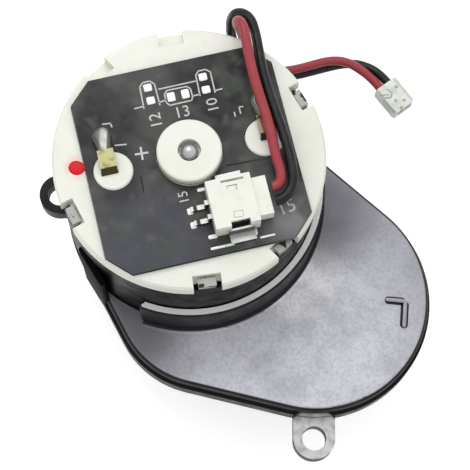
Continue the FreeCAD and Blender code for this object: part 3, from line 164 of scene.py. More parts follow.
# The two wires: fine copper strands in soft coloured insulation. They leave the header's
# plug side by side, cross the end bell's edge, drop behind the can and end in the small plug.
WIRE_DIAMETER = 1.2 * MM
WIRE_SPLINE_ORDER = 3
WIRE_STEPS = 16
WIRE_ROUNDNESS = 8
RED_COLOR = (160, 62, 68)
RED_DUSTY = (164, 78, 82)
BLACK_COLOR = (18, 18, 18)
BLACK_DUSTY = (46, 46, 44)
RED_ROUTE = (
    (0.45, 14.15, 23.9),
    (0.95, 14.95, 23.95),
    (0.06, 16.1, 24.1),
    (-1.85, 17.08, 24.3),
    (-4.92, 19.21, 24.6),
    (-8.01, 20.85, 24.9),
    (-10.61, 22.3, 25.2),
    (-12.81, 23.82, 25.5),
    (-14.46, 25.01, 25.8),
    (-15.69, 25.76, 25.7),
    (-16.54, 25.88, 24.9),
    (-16.71, 26.14, 22.9),
    (-16.67, 26.96, 19.5),
    (-16.97, 27.85, 15.0),
    (-17.06, 28.91, 10.0),
    (-16.72, 29.98, 5.5),
    (-15.67, 31.36, 2.0),
    (-14.17, 32.92, 0.8),
    (-12.95, 34.74, 0.6),
    (-11.87, 36.72, 0.6),
    (-10.85, 38.57, 0.5),
    (-9.4, 39.96, 0.45),
    (-7.68, 40.6, 0.25),
    (-5.11, 41.05, -0.3),
    (-3.23, 40.75, -0.3),
)
BLACK_ROUTE = (
    (1.9, 13.24, 23.9),
    (2.55, 14.25, 23.95),
    (1.92, 16.32, 24.1),
    (-0.37, 18.1, 24.2),
    (-3.67, 20.01, 24.2),
    (-7.11, 21.76, 24.3),
    (-9.97, 23.43, 24.4),
    (-12.2, 25.05, 24.5),
    (-14.11, 26.47, 24.4),
    (-15.78, 27.39, 24.3),
    (-17.18, 27.32, 23.8),
    (-18.0, 26.8, 22.8),
    (-18.31, 26.73, 20.0),
    (-18.26, 26.84, 16.5),
    (-18.04, 27.55, 11.6),
    (-17.47, 28.52, 6.5),
    (-16.5, 29.79, 2.2),
    (-15.17, 31.28, -0.2),
    (-13.76, 32.98, -0.9),
    (-12.59, 34.9, -1.0),
    (-11.45, 36.85, -1.0),
    (-10.41, 38.72, -1.05),
    (-9.32, 40.38, -1.05),
    (-7.6, 41.8, -0.9),
    (-4.91, 42.33, -0.3),
    (-3.03, 42.03, -0.3),
)


def tone(color):
    """A colour of 0 to 255 a channel, as seen, to the linear values that a shader takes."""
    seen = [channel / 255 for channel in color]
    return [c / 12.92 if c <= 0.04045 else ((c + 0.055) / 1.055) ** 2.4 for c in seen]


def new_finish(name, color, roughness, **sockets):
    """A node material, with each value that is the same all over on the shader's own socket."""
    finish = bpy.data.materials.new(name)
    finish.use_nodes = True
    shader = finish.node_tree.nodes["Principled BSDF"]
    shader.inputs["Base Color"].default_value = (*tone(color), 1)
    shader.inputs["Roughness"].default_value = roughness
    for socket, value in sockets.items():
        shader.inputs[socket.replace("_", " ")].default_value = value
    return finish


def grain(finish, per_mm, detail, stretch=(1, 1, 1)):
    """A noise on the piece's own coordinates, per_mm cells to a millimetre."""
    nodes, links = finish.node_tree.nodes, finish.node_tree.links
    coordinates = nodes.new("ShaderNodeTexCoord")
    mapping = nodes.new("ShaderNodeMapping")
    mapping.inputs["Scale"].default_value = [axis / MM for axis in stretch]
    texture = nodes.new("ShaderNodeTexNoise")
    texture.inputs["Scale"].default_value = per_mm
    texture.inputs["Detail"].default_value = detail
    links.new(coordinates.outputs["Object"], mapping.inputs["Vector"])
    links.new(mapping.outputs["Vector"], texture.inputs["Vector"])
    return texture.outputs["Fac"]


def spread(finish, value, low, high, start=0.0, end=1.0):
    """The value from low to high, spread smoothly over start to end."""
    node = finish.node_tree.nodes.new("ShaderNodeMapRange")
    node.interpolation_type = "SMOOTHSTEP"
    for socket, number in (("From Min", low), ("From Max", high),
                           ("To Min", start), ("To Max", end)):
        node.inputs[socket].default_value = number
    finish.node_tree.links.new(value, node.inputs["Value"])
    return node.outputs["Result"]


def mingle(finish, amount, first, second):
    """One colour over another by an amount. Each is three values or another colour's socket."""
    node = finish.node_tree.nodes.new("ShaderNodeMix")
    node.data_type = "RGBA"
    links = finish.node_tree.links
    links.new(amount, node.inputs[0])
    for socket, color in ((node.inputs[6], first), (node.inputs[7], second)):
        if isinstance(color, tuple):
            socket.default_value = (*tone(color), 1)
        else:
            links.new(color, socket)
    return node.outputs[2]


def set_on(finish, socket, value):
    """Put a pattern on one of the shader's sockets."""
    shader = finish.node_tree.nodes["Principled BSDF"]
    finish.node_tree.links.new(value, shader.inputs[socket])


def two_toned(finish, pattern, low, high, first, second, most=1.0):
    """Colour a finish: where a pattern rises, the second colour covers the first, up to most."""
    amount = spread(finish, pattern, low, high, 0.0, most)
    set_on(finish, "Base Color", mingle(finish, amount, first, second))


def uneven(finish, pattern, low, high, first, second):
    """Let a finish's roughness go from one value to another where a pattern rises."""
    set_on(finish, "Roughness", spread(finish, pattern, low, high, first, second))


def roughen(finish, height, depth_mm, strength):
    """Turn a pattern into small hills, depth_mm high."""
    node = finish.node_tree.nodes.new("ShaderNodeBump")
    node.inputs["Strength"].default_value = strength
    node.inputs["Distance"].default_value = depth_mm * MM
    finish.node_tree.links.new(height, node.inputs["Height"])
    set_on(finish, "Normal", node.outputs["Normal"])


def make_wire(name, route, finish):
    """A wire on a smooth line through its route's control points."""
    line = bpy.data.curves.new(name, "CURVE")
    line.dimensions = "3D"
    spline = line.splines.new("NURBS")
    spline.points.add(len(route) - 1)
    for point, place in zip(spline.points, route):
        point.co = (*[axis * MM for axis in place], 1)
    spline.order_u = WIRE_SPLINE_ORDER
    spline.use_endpoint_u = True
    spline.resolution_u = WIRE_STEPS
    line.bevel_depth = WIRE_DIAMETER / 2
    line.bevel_resolution = WIRE_ROUNDNESS
    line.use_fill_caps = True
    line.materials.append(finish)
    wire = bpy.data.objects.new(name, line)
    bpy.context.collection.objects.link(wire)
    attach(wire, "housing")
    return wire


def insulation(name, color, dusty):
    """Soft PVC: a little waviness, a satin sheen and some dull dust in patches."""
    finish = new_finish(name, color, 0.42, Specular_IOR_Level=0.3)
    two_toned(finish, grain(finish, 0.9, 4), 0.45, 0.75, color, dusty, 0.55)
    uneven(finish, grain(finish, 0.6, 3), 0.35, 0.7, 0.3, 0.52)
    roughen(finish, grain(finish, 2.2, 2), 0.02, 0.5)
    return finish


red_skin = insulation("wire_red_insulation", RED_COLOR, RED_DUSTY)
black_skin = insulation("wire_black_insulation", BLACK_COLOR, BLACK_DUSTY)
red_wire = make_wire("red_lead", RED_ROUTE, red_skin)
black_wire = make_wire("black_lead", BLACK_ROUTE, black_skin)
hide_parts("red_wire")
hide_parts("black_wire")

# The gear case: one zinc die casting with a fine blasted skin. Its colour carries painted light: a
# pale pool in the middle of its plate, a painted highlight by the collar's foot and on the
# collar's rim, and painted shade that leaves its sides, its flange and the ear behind the motor
# nearly black.
CASE_LIT_MIDDLE = (210, 211, 219)
CASE_EDGE = (168, 168, 176)
CASE_CLOUD = (150, 150, 158)
CASE_SMUDGE = (124, 122, 129)
CASE_SPECK = (112, 112, 120)
CASE_PAINTED_BRIGHT = (246, 247, 250)
CASE_SIDE_SHADE = (16, 15, 18)
CASE_SIDE_SHADE_WORN = (40, 39, 43)
CASE_RIM_HIGHLIGHT = (244, 244, 242)
EAR_LIGHT = (206, 207, 204)
EAR_MOTTLED = (166, 166, 167)
UP = (0, 0, 1)
PLATE_TOP = 4.5
PLATE_EDGE = 3.9
RIM_TOP = 10.0
RIM_BLUR = 0.6
LIT_PLACE = (13.0, 5.0, PLATE_TOP)
LIT_REACH = (8.0, 22.0)
COLLAR_FOOT = (7.5, 12.5, PLATE_TOP)
COLLAR_REACH = (2.0, 6.5)
SMUDGED_PLACES = (((4.0, 22.0, PLATE_TOP), 9.5), ((-3.0, -7.0, PLATE_TOP), 10.0))
SMUDGE_CORE = 2.0
POST_EAR = (22.6, 0.0, 2.0)
EAR_REACH = (3.3, 3.7)


def along(finish, direction):
    """How far a point lies along a direction on the piece's own coordinates, in mm."""
    nodes, links = finish.node_tree.nodes, finish.node_tree.links
    coordinates = nodes.new("ShaderNodeTexCoord")
    reach = nodes.new("ShaderNodeVectorMath")
    reach.operation = "DOT_PRODUCT"
    reach.inputs[1].default_value = [axis / MM for axis in direction]
    links.new(coordinates.outputs["Object"], reach.inputs[0])
    return reach.outputs["Value"]


def away(finish, place):
    """How far a point lies from a place on the piece's own coordinates, in mm."""
    nodes, links = finish.node_tree.nodes, finish.node_tree.links
    coordinates = nodes.new("ShaderNodeTexCoord")
    in_mm = nodes.new("ShaderNodeVectorMath")
    in_mm.operation = "SCALE"
    in_mm.inputs["Scale"].default_value = 1 / MM
    apart = nodes.new("ShaderNodeVectorMath")
    apart.operation = "DISTANCE"
    apart.inputs[1].default_value = place
    links.new(coordinates.outputs["Object"], in_mm.inputs[0])
    links.new(in_mm.outputs["Vector"], apart.inputs[0])
    return apart.outputs["Value"]


def facing(finish, direction):
    """How squarely a surface faces a direction of the piece: 1 full on, 0 edge on."""
    nodes, links = finish.node_tree.nodes, finish.node_tree.links
    coordinates = nodes.new("ShaderNodeTexCoord")
    turn = nodes.new("ShaderNodeVectorMath")
    turn.operation = "DOT_PRODUCT"
    turn.inputs[1].default_value = direction
    links.new(coordinates.outputs["Normal"], turn.inputs[0])
    return turn.outputs["Value"]


def dress(finish, *names):
    """Give a finish to CAD nodes."""
    for name in names:
        node = bpy.data.objects[name]
        node.data.materials.clear()
        node.data.materials.append(finish)


cast_metal = new_finish("cast_metal", CASE_LIT_MIDDLE, 0.5, Metallic=0.25, Specular_IOR_Level=0.3)
# Painted light: the plate is pale round one place in its middle and darker toward its edges.
plate = mingle(cast_metal, spread(cast_metal, away(cast_metal, LIT_PLACE), *LIT_REACH),
               CASE_LIT_MIDDLE, CASE_EDGE)
# Painted highlight: a near white patch on the plate round the collar's foot, where the motor
# shades it.
plate = mingle(cast_metal, spread(cast_metal, away(cast_metal, COLLAR_FOOT), *COLLAR_REACH),
               CASE_PAINTED_BRIGHT, plate)
clouds = spread(cast_metal, grain(cast_metal, 0.3, 4), 0.4, 0.75, 0.0, 0.4)
plate = mingle(cast_metal, clouds, plate, CASE_CLOUD)
for smudged_place, smudge_reach in SMUDGED_PLACES:
    smudge = spread(cast_metal, away(cast_metal, smudged_place), SMUDGE_CORE, smudge_reach)
    plate = mingle(cast_metal, smudge, CASE_SMUDGE, plate)
specks = spread(cast_metal, grain(cast_metal, 2.8, 2), 0.35, 0.8, 0.0, 0.3)
plate = mingle(cast_metal, specks, plate, CASE_SPECK)
case_height = along(cast_metal, UP)
# Painted highlight: the collar's rim, above the plate, is coloured near white.
plate = mingle(cast_metal, spread(cast_metal, case_height, RIM_TOP, RIM_TOP + RIM_BLUR),
               plate, CASE_RIM_HIGHLIGHT)
# Painted shade: every face that does not look straight up is coloured nearly black.
side_shade_mottle = spread(cast_metal, grain(cast_metal, 0.8, 5), 0.55, 0.85)
side = mingle(cast_metal, side_shade_mottle, CASE_SIDE_SHADE, CASE_SIDE_SHADE_WORN)
level = spread(cast_metal, facing(cast_metal, UP), 0.85, 0.99)
light_part = mingle(cast_metal, level, side, plate)
ear_skin = mingle(cast_metal, spread(cast_metal, grain(cast_metal, 1.0, 4), 0.4, 0.7),
                  EAR_LIGHT, EAR_MOTTLED)
ear_part = mingle(cast_metal, level, side, ear_skin)
# Painted shade: the flange below the plate is nearly black, except round the brush post's ear.
flange = mingle(cast_metal, spread(cast_metal, away(cast_metal, POST_EAR), *EAR_REACH),
                ear_part, side)
above_flange = spread(cast_metal, case_height, PLATE_EDGE, PLATE_TOP - 0.1)
set_on(cast_metal, "Base Color", mingle(cast_metal, above_flange, flange, light_part))
uneven(cast_metal, grain(cast_metal, 0.5, 5), 0.3, 0.7, 0.45, 0.6)
roughen(cast_metal, grain(cast_metal, 3.4, 3), 0.03, 0.5)
dress(cast_metal, "gear_case")

# The corner mark: two bars cast proud of the plate, a sign for the fitter that names nothing,
# with painted shade on their sides and a painted shadow along their feet.
MARK_HEIGHT = 0.4
MARK_WIDTH = 0.5
MARK_CORNERS = ((17.16, 18.47), (19.12, 20.06), (21.27, 17.45))
MARK_COLOR = (150, 150, 156)
SHADE_COLOR = (28, 27, 30)
SHADE_PALE = (60, 59, 63)
SHADE_WIDTH = 1.0
SHADE_CORNER = 0.4
SHADE_HEIGHT = 0.02
SUNK = 0.1
MARK_EDGE = 0.1
CORNER_STEPS = 4
EDGE_STEPS = 3
SMOOTH_UNDER = math.radians(35)


def bar(name, start, end, width, bottom, top, rounded=0.0):
    """A straight bar lying between two points, raised from a plane and extruded, in mm."""
    nothing_selected()
    (x0, y0), (x1, y1) = start, end
    length = math.hypot(x1 - x0, y1 - y0)
    bpy.ops.mesh.primitive_plane_add(size=MM)
    piece = bpy.context.object
    piece.name = name
    bpy.ops.object.mode_set(mode="EDIT")
    bpy.ops.transform.resize(value=(length, width, 1))
    if rounded:
        bpy.ops.mesh.bevel(offset=rounded * MM, segments=CORNER_STEPS, affect="VERTICES")
    bpy.ops.mesh.extrude_region_move(
        TRANSFORM_OT_translate={"value": (0, 0, (top - bottom) * MM)})
    bpy.ops.mesh.select_all(action="SELECT")
    bpy.ops.mesh.normals_make_consistent(inside=False)
    bpy.ops.object.mode_set(mode="OBJECT")
    piece.rotation_euler.z = math.atan2(y1 - y0, x1 - x0)
    piece.location = ((x0 + x1) / 2 * MM, (y0 + y1) / 2 * MM, bottom * MM)
    bpy.ops.object.transform_apply(location=True, rotation=True, scale=True)
    return piece


def made_one(name, pieces, finish, body):
    """Join pieces into one, give it its finish and let it ride on a body."""
    nothing_selected()
    for piece in pieces:
        piece.select_set(True)
    bpy.context.view_layer.objects.active = pieces[0]
    bpy.ops.object.join()
    whole = bpy.context.object
    whole.name = name
    whole.data.materials.clear()
    whole.data.materials.append(finish)
    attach(whole, body)


def softened(piece, radius):
    """Round a piece's edges off, as moulding or casting leaves them."""
    nothing_selected()
    piece.select_set(True)
    bpy.context.view_layer.objects.active = piece
    edge = piece.modifiers.new("edge", "BEVEL")
    edge.width = radius * MM
    edge.segments = EDGE_STEPS
    edge.limit_method = "ANGLE"
    bpy.ops.object.modifier_apply(modifier=edge.name)
    bpy.ops.object.shade_smooth_by_angle(angle=SMOOTH_UNDER)
    return piece


mark_metal = new_finish("mark_metal", MARK_COLOR, 0.45, Metallic=0.25)
mark_top = spread(mark_metal, facing(mark_metal, UP), 0.75, 0.97)
mark_wear = spread(mark_metal, grain(mark_metal, 2.0, 3), 0.4, 0.8)
mark_skin = mingle(mark_metal, mark_wear, MARK_COLOR, CASE_EDGE)
# Painted shade: the mark's sides are dark, and only its top keeps the metal's colour.
set_on(mark_metal, "Base Color", mingle(mark_metal, mark_top, SHADE_COLOR, mark_skin))
# The painted shade: a dark finish for thin sheets laid where shade falls, at the mark's feet and
# in the header's latch window.
painted_shade = new_finish("painted_shade", SHADE_COLOR, 0.8)
two_toned(painted_shade, grain(painted_shade, 2.5, 3), 0.4, 0.8, SHADE_COLOR, SHADE_PALE)
mark_arms = []
shade_lines = []
for mark_start, mark_end in zip(MARK_CORNERS, MARK_CORNERS[1:]):
    arm = bar("mark_arm", mark_start, mark_end, MARK_WIDTH, PLATE_TOP - SUNK,
              PLATE_TOP + MARK_HEIGHT, MARK_WIDTH / 2)
    mark_arms.append(softened(arm, MARK_EDGE))
    shade_lines.append(bar("shade_line", mark_start, mark_end, SHADE_WIDTH, PLATE_TOP - SUNK,
                          PLATE_TOP + SHADE_HEIGHT, SHADE_CORNER))
made_one("corner_mark", mark_arms, mark_metal, "housing")
made_one("corner_shade", shade_lines, painted_shade, "housing")

# The cover: the lower half of the gear case, moulded in black nylon with glass fibre, whose
# fine spark-eroded grain is worn paler and smoother in places.
COVER_COLOR = (13, 13, 14)
COVER_WORN = (34, 34, 37)
cover_nylon = new_finish("cover_nylon", COVER_COLOR, 0.5, Specular_IOR_Level=0.2)
two_toned(cover_nylon, grain(cover_nylon, 0.7, 5), 0.55, 0.8, COVER_COLOR, COVER_WORN, 0.5)
uneven(cover_nylon, grain(cover_nylon, 1.5, 3), 0.3, 0.7, 0.42, 0.62)
roughen(cover_nylon, grain(cover_nylon, 5.0, 2), 0.03, 0.5)
dress(cover_nylon, "gear_cover")

# The cover's stay: a black bar that rises from the cover beside the motor's left foot. The
# solids lack it, and its height can't be seen in the picture.
STAY_COLOR = (5, 5, 6)
STAY_START = (-13.0, -4.55)
STAY_END = (-7.6, -5.9)
STAY_WIDTH = 0.8
STAY_BOTTOM = -1.0
STAY_TOP = 12.5
STAY_CORNER = 0.35
STAY_EDGE = 0.1
stay_black = new_finish("stay_black", STAY_COLOR, 0.7, Specular_IOR_Level=0.08)
stay = bar("stay_bar", STAY_START, STAY_END, STAY_WIDTH, STAY_BOTTOM, STAY_TOP, STAY_CORNER)
made_one("cover_stay", [softened(stay, STAY_EDGE)], stay_black, "housing")

# Screws and washers: rolled steel wire, zinc plated, with the plating's cloudy shine. Three
# screws hold the cover from below and two hold the motor.
ZINC_COLOR = (178, 180, 182)
ZINC_DULL = (140, 141, 145)
zinc_plate = new_finish("zinc_plate", ZINC_COLOR, 0.32, Metallic=1.0)
two_toned(zinc_plate, grain(zinc_plate, 1.4, 4), 0.35, 0.7, ZINC_COLOR, ZINC_DULL)
uneven(zinc_plate, grain(zinc_plate, 3.0, 3), 0.3, 0.7, 0.26, 0.46)
roughen(zinc_plate, grain(zinc_plate, 6.0, 2), 0.01, 0.4)
dress(zinc_plate, "cover_screws", "motor_screws", "front_washer", "rear_washer", "output_washer")

# The gear train: a hobbed brass pinion on the armature shaft and two moulded acetal wheels,
# milky white, with a film of clear grease over their teeth.
BRASS_COLOR = (200, 172, 104)
BRASS_BROWN = (158, 128, 74)
turned_brass = new_finish("turned_brass", BRASS_COLOR, 0.3, Metallic=1.0)
two_toned(turned_brass, grain(turned_brass, 1.2, 4), 0.4, 0.75, BRASS_COLOR, BRASS_BROWN)
roughen(turned_brass, grain(turned_brass, 8.0, 2, stretch=(0.2, 0.2, 3)), 0.01, 0.4)
dress(turned_brass, "motor_pinion")

ACETAL_COLOR = (232, 230, 220)
ACETAL_GREASED = (214, 208, 186)
acetal = new_finish("acetal", ACETAL_COLOR, 0.38, Subsurface_Weight=0.15,
                    Subsurface_Scale=0.001, Coat_Weight=0.2, Coat_Roughness=0.15)
grease = grain(acetal, 0.5, 4)
two_toned(acetal, grease, 0.45, 0.7, ACETAL_COLOR, ACETAL_GREASED)
uneven(acetal, grease, 0.4, 0.7, 0.42, 0.2)
roughen(acetal, grain(acetal, 1.6, 3), 0.02, 0.4)
dress(acetal, "intermediate_gear", "output_gear", "front_spacer")

# Shafts and axles: centreless-ground steel, with the grinding's fine rings round them. The
# spring clip between the magnets has the same bright skin.
STEEL_COLOR = (188, 190, 194)
STEEL_SHADE = (150, 151, 156)
ground_steel = new_finish("ground_steel", STEEL_COLOR, 0.25, Metallic=1.0)
rings = grain(ground_steel, 1.0, 3, stretch=(0.4, 0.4, 9))
two_toned(ground_steel, rings, 0.35, 0.7, STEEL_COLOR, STEEL_SHADE)
uneven(ground_steel, rings, 0.3, 0.7, 0.2, 0.36)
roughen(ground_steel, rings, 0.008, 0.4)
dress(ground_steel, "motor_shaft", "intermediate_axle", "output_shaft", "magnet_clip")

# Bearings and bushes: bronze powder pressed and sintered, still porous, and dark with oil. The
# one in the end bell is iron, and the seal under the output bush is a ring of grey felt.
BRONZE_COLOR = (150, 112, 72)
BRONZE_OILED = (98, 72, 50)
oiled_bronze = new_finish("oiled_bronze", BRONZE_COLOR, 0.45, Metallic=0.85)
two_toned(oiled_bronze, grain(oiled_bronze, 5.0, 3), 0.4, 0.66, BRONZE_COLOR, BRONZE_OILED)
roughen(oiled_bronze, grain(oiled_bronze, 7.0, 3), 0.03, 0.6)
dress(oiled_bronze, "output_bush", "upper_bush", "front_bearing")

IRON_COLOR = (188, 187, 182)
IRON_OILED = (146, 144, 139)
oiled_iron = new_finish("oiled_iron", IRON_COLOR, 0.42, Metallic=0.6)
two_toned(oiled_iron, grain(oiled_iron, 5.0, 3), 0.4, 0.66, IRON_COLOR, IRON_OILED)
roughen(oiled_iron, grain(oiled_iron, 7.0, 3), 0.03, 0.6)
dress(oiled_iron, "rear_bearing")

FELT_COLOR = (178, 172, 160)
FELT_DIRTY = (128, 122, 112)
grey_felt = new_finish("grey_felt", FELT_COLOR, 0.95, Sheen_Weight=0.4, Sheen_Roughness=0.6)
fibres = grain(grey_felt, 5.0, 4, stretch=(1, 2.4, 1))
two_toned(grey_felt, fibres, 0.35, 0.65, FELT_COLOR, FELT_DIRTY)
roughen(grey_felt, fibres, 0.12, 0.9)
dress(grey_felt, "output_seal")

# The motor can: deep-drawn steel with faint upright streaks from the draw, coloured nearly black
# as painted shade. Its four tabs, bent over the end bell, keep the steel's pale grey.
CAN_SHADE = (22, 20, 18)
CAN_SHADE_DARK = (12, 11, 9)
CAN_SHADE_PALE = (40, 38, 34)
CAN_TAB = (176, 176, 172)
CAN_STAKE = (54, 52, 50)
TAB_FROM = 19.9
TAB_FULL = 20.3
drawn_steel = new_finish("drawn_steel", CAN_SHADE, 0.48, Metallic=0.1, Specular_IOR_Level=0.04)
streaks = grain(drawn_steel, 0.9, 4, stretch=(1, 1, 0.08))
# Painted shade: below its tabs the can is coloured nearly black.
can_shade_skin = mingle(drawn_steel, spread(drawn_steel, streaks, 0.35, 0.7), CAN_SHADE_DARK, CAN_SHADE)
smudges = spread(drawn_steel, grain(drawn_steel, 0.35, 5), 0.5, 0.8, 0, 0.4)
can_shade_skin = mingle(drawn_steel, smudges, can_shade_skin, CAN_SHADE_PALE)
stakes = spread(drawn_steel, grain(drawn_steel, 1.0, 1), 0.56, 0.64)
tab_skin = mingle(drawn_steel, stakes, CAN_TAB, CAN_STAKE)
tab_part = spread(drawn_steel, along(drawn_steel, UP), TAB_FROM, TAB_FULL)
set_on(drawn_steel, "Base Color", mingle(drawn_steel, tab_part, can_shade_skin, tab_skin))
uneven(drawn_steel, grain(drawn_steel, 0.6, 5), 0.3, 0.7, 0.3, 0.5)
roughen(drawn_steel, streaks, 0.02, 0.4)
dress(drawn_steel, "motor_can")

# The magnets: two arcs of pressed and fired ferrite inside the can, dark grey, and a little
# chalky from the grinding that gave them their size.
FERRITE_COLOR = (52, 52, 55)
FERRITE_DUSTY = (84, 84, 86)
ferrite = new_finish("ferrite", FERRITE_COLOR, 0.7)
two_toned(ferrite, grain(ferrite, 1.8, 5), 0.45, 0.75, FERRITE_COLOR, FERRITE_DUSTY)
roughen(ferrite, grain(ferrite, 4.0, 3), 0.03, 0.6)
dress(ferrite, "magnet_1", "magnet_2")

# The armature: a stack of punched steel sheets, whose edges show as fine level lines, three
# coils of varnished copper wire, and a commutator of three copper bars on a dark hub.
CORE_COLOR = (120, 120, 124)
CORE_GAP = (62, 60, 60)
SHEETS_PER_MM = 1.0
WAVES_TO_A_UNIT = 3.2
core_sheets = new_finish("core_sheets", CORE_COLOR, 0.42, Metallic=0.8)
sheet_waves = core_sheets.node_tree.nodes.new("ShaderNodeTexWave")
sheet_waves.bands_direction = "Z"
sheet_waves.inputs["Scale"].default_value = SHEETS_PER_MM / MM / WAVES_TO_A_UNIT
sheet_waves.inputs["Distortion"].default_value = 0.2
sheet_place = core_sheets.node_tree.nodes.new("ShaderNodeTexCoord")
core_sheets.node_tree.links.new(sheet_place.outputs["Object"], sheet_waves.inputs["Vector"])
sheet_edges = sheet_waves.outputs["Fac"]
two_toned(core_sheets, sheet_edges, 0.1, 0.5, CORE_GAP, CORE_COLOR)
roughen(core_sheets, sheet_edges, 0.05, 0.6)
dress(core_sheets, "armature_core")

COPPER_COLOR = (184, 96, 48)
COPPER_DARK = (112, 50, 24)
coil_wire = new_finish("coil_wire", COPPER_COLOR, 0.3, Metallic=0.7, Coat_Weight=0.6,
                       Coat_Roughness=0.12)
turns = grain(coil_wire, 4.0, 1, stretch=(1.2, 1.2, 0.12))
two_toned(coil_wire, turns, 0.35, 0.65, COPPER_DARK, COPPER_COLOR)
roughen(coil_wire, turns, 0.12, 0.8)
dress(coil_wire, "coil_1", "coil_2", "coil_3")

BAR_COLOR = (206, 128, 88)
BAR_BROWN = (140, 78, 52)
turned_copper = new_finish("turned_copper", BAR_COLOR, 0.28, Metallic=1.0)
wear_rings = grain(turned_copper, 1.0, 3, stretch=(0.3, 0.3, 8))
two_toned(turned_copper, wear_rings, 0.4, 0.7, BAR_COLOR, BAR_BROWN)
roughen(turned_copper, wear_rings, 0.01, 0.5)
dress(turned_copper, "commutator_bar_1", "commutator_bar_2", "commutator_bar_3")

CARBON_COLOR = (38, 37, 38)
CARBON_GREY = (74, 72, 72)
pressed_carbon = new_finish("pressed_carbon", CARBON_COLOR, 0.55, Metallic=0.3)
two_toned(pressed_carbon, grain(pressed_carbon, 5.0, 3), 0.4, 0.7, CARBON_COLOR, CARBON_GREY)
roughen(pressed_carbon, grain(pressed_carbon, 6.0, 3), 0.02, 0.5)
dress(pressed_carbon, "brush_1", "brush_2", "commutator_hub")

# The end bell: a cream white polyamide moulding with faint smudges and a line of painted shade
# round its hub. The tester's dot of red paint has left a pink blush about it.
BELL_COLOR = (236, 237, 227)
BELL_SHADE = (232, 232, 221)
BELL_SMUDGE = (222, 220, 210)
BELL_PINK = (240, 206, 200)
HUB_SHADE_LINE = (74, 72, 64)
HUB_LINE_BOTTOM = 22.74
HUB_LINE_TOP = 22.96
BELL_TOP = 21.8
LINE_BLUR = 0.04
BLUSH_FROM = 0.9
BLUSH_TO = 2.0
DOT_PLACE = (-17.72, 0.46)
DOT_R = 0.92
DOT_HEIGHT = 0.12
DOT_SQUEEZE = (1.06, 0.96)
DOT_TURN = 0.5
DROP_SIDES = 40
DROP_STEPS = ((0.97, 0.35), (0.90, 0.30), (0.74, 0.22), (0.42, 0.13))
DROP_SMOOTH_UNDER = math.radians(50)
PAINT_BASE = BELL_TOP - 0.02
SPLASH_OFFSET = (0.5, 0.55)
SPLASH_R = 0.45
SPLASH_HEIGHT = 0.096
DOT_COLOR = (214, 12, 24)
DOT_THIN = (232, 80, 84)
bell_nylon = new_finish("bell_nylon", BELL_COLOR, 0.45, Subsurface_Weight=0.08,
                        Subsurface_Scale=0.001)
bell_shade = spread(bell_nylon, grain(bell_nylon, 0.2, 4), 0.42, 0.72)
bell_skin = mingle(bell_nylon, bell_shade, BELL_COLOR, BELL_SHADE)
bell_dust = spread(bell_nylon, grain(bell_nylon, 0.7, 5), 0.62, 0.8, 0, 0.4)
bell_skin = mingle(bell_nylon, bell_dust, bell_skin, BELL_SMUDGE)
blush_grain = spread(bell_nylon, grain(bell_nylon, 1.2, 3), 0.3, 0.75)
blush = mingle(bell_nylon, blush_grain, BELL_PINK, bell_skin)
from_dot = away(bell_nylon, (*DOT_PLACE, BELL_TOP))
blush_end = spread(bell_nylon, from_dot, BLUSH_FROM, BLUSH_TO)
bell_skin = mingle(bell_nylon, blush_end, blush, bell_skin)
# Painted shade: a thin dark band round the hub's side, a little above the board.
bell_height = along(bell_nylon, UP)
line_end = spread(bell_nylon, bell_height, HUB_LINE_TOP, HUB_LINE_TOP + LINE_BLUR)
line_start = spread(bell_nylon, bell_height, HUB_LINE_BOTTOM, HUB_LINE_BOTTOM + LINE_BLUR)
hub_shade_band = mingle(bell_nylon, line_end, HUB_SHADE_LINE, bell_skin)
bell_skin = mingle(bell_nylon, line_start, bell_skin, hub_shade_band)
set_on(bell_nylon, "Base Color", bell_skin)
uneven(bell_nylon, grain(bell_nylon, 0.9, 4), 0.3, 0.7, 0.36, 0.55)
roughen(bell_nylon, grain(bell_nylon, 3.0, 3), 0.02, 0.4)
dress(bell_nylon, "end_bell")


def drop(name, x, y, bottom, radius, height, squeeze=(1, 1), turn=0.0):
    """A flat drop or a shallow round spot: a disc, domed by drawing its top in."""
    nothing_selected()
    bpy.ops.mesh.primitive_circle_add(vertices=DROP_SIDES, radius=radius * MM, fill_type="NGON")
    piece = bpy.context.object
    piece.name = name
    bpy.ops.object.mode_set(mode="EDIT")
    for share, rise in DROP_STEPS:
        bpy.ops.mesh.extrude_region_move(
            TRANSFORM_OT_translate={"value": (0, 0, rise * height * MM)})
        bpy.ops.transform.resize(value=(share, share, 1))
    bpy.ops.mesh.select_all(action="SELECT")
    bpy.ops.mesh.normals_make_consistent(inside=False)
    bpy.ops.object.mode_set(mode="OBJECT")
    bpy.ops.object.shade_smooth_by_angle(angle=DROP_SMOOTH_UNDER)
    piece.scale = (*squeeze, 1)
    piece.rotation_euler.z = turn
    piece.location = (x * MM, y * MM, bottom * MM)
    bpy.ops.object.transform_apply(location=True, rotation=True, scale=True)
    return piece


red_paint = new_finish("red_paint", DOT_COLOR, 0.35, Specular_IOR_Level=0.2)
two_toned(red_paint, grain(red_paint, 1.3, 4), 0.55, 0.8, DOT_COLOR, DOT_THIN, 0.3)
roughen(red_paint, grain(red_paint, 1.5, 3), 0.04, 0.5)
splash_x, splash_y = [at + off for at, off in zip(DOT_PLACE, SPLASH_OFFSET)]
dots = [drop("dot", *DOT_PLACE, PAINT_BASE, DOT_R, DOT_HEIGHT, DOT_SQUEEZE, DOT_TURN),
        drop("dot", splash_x, splash_y, PAINT_BASE, SPLASH_R, SPLASH_HEIGHT)]
made_one("paint_dot", dots, red_paint, "housing")

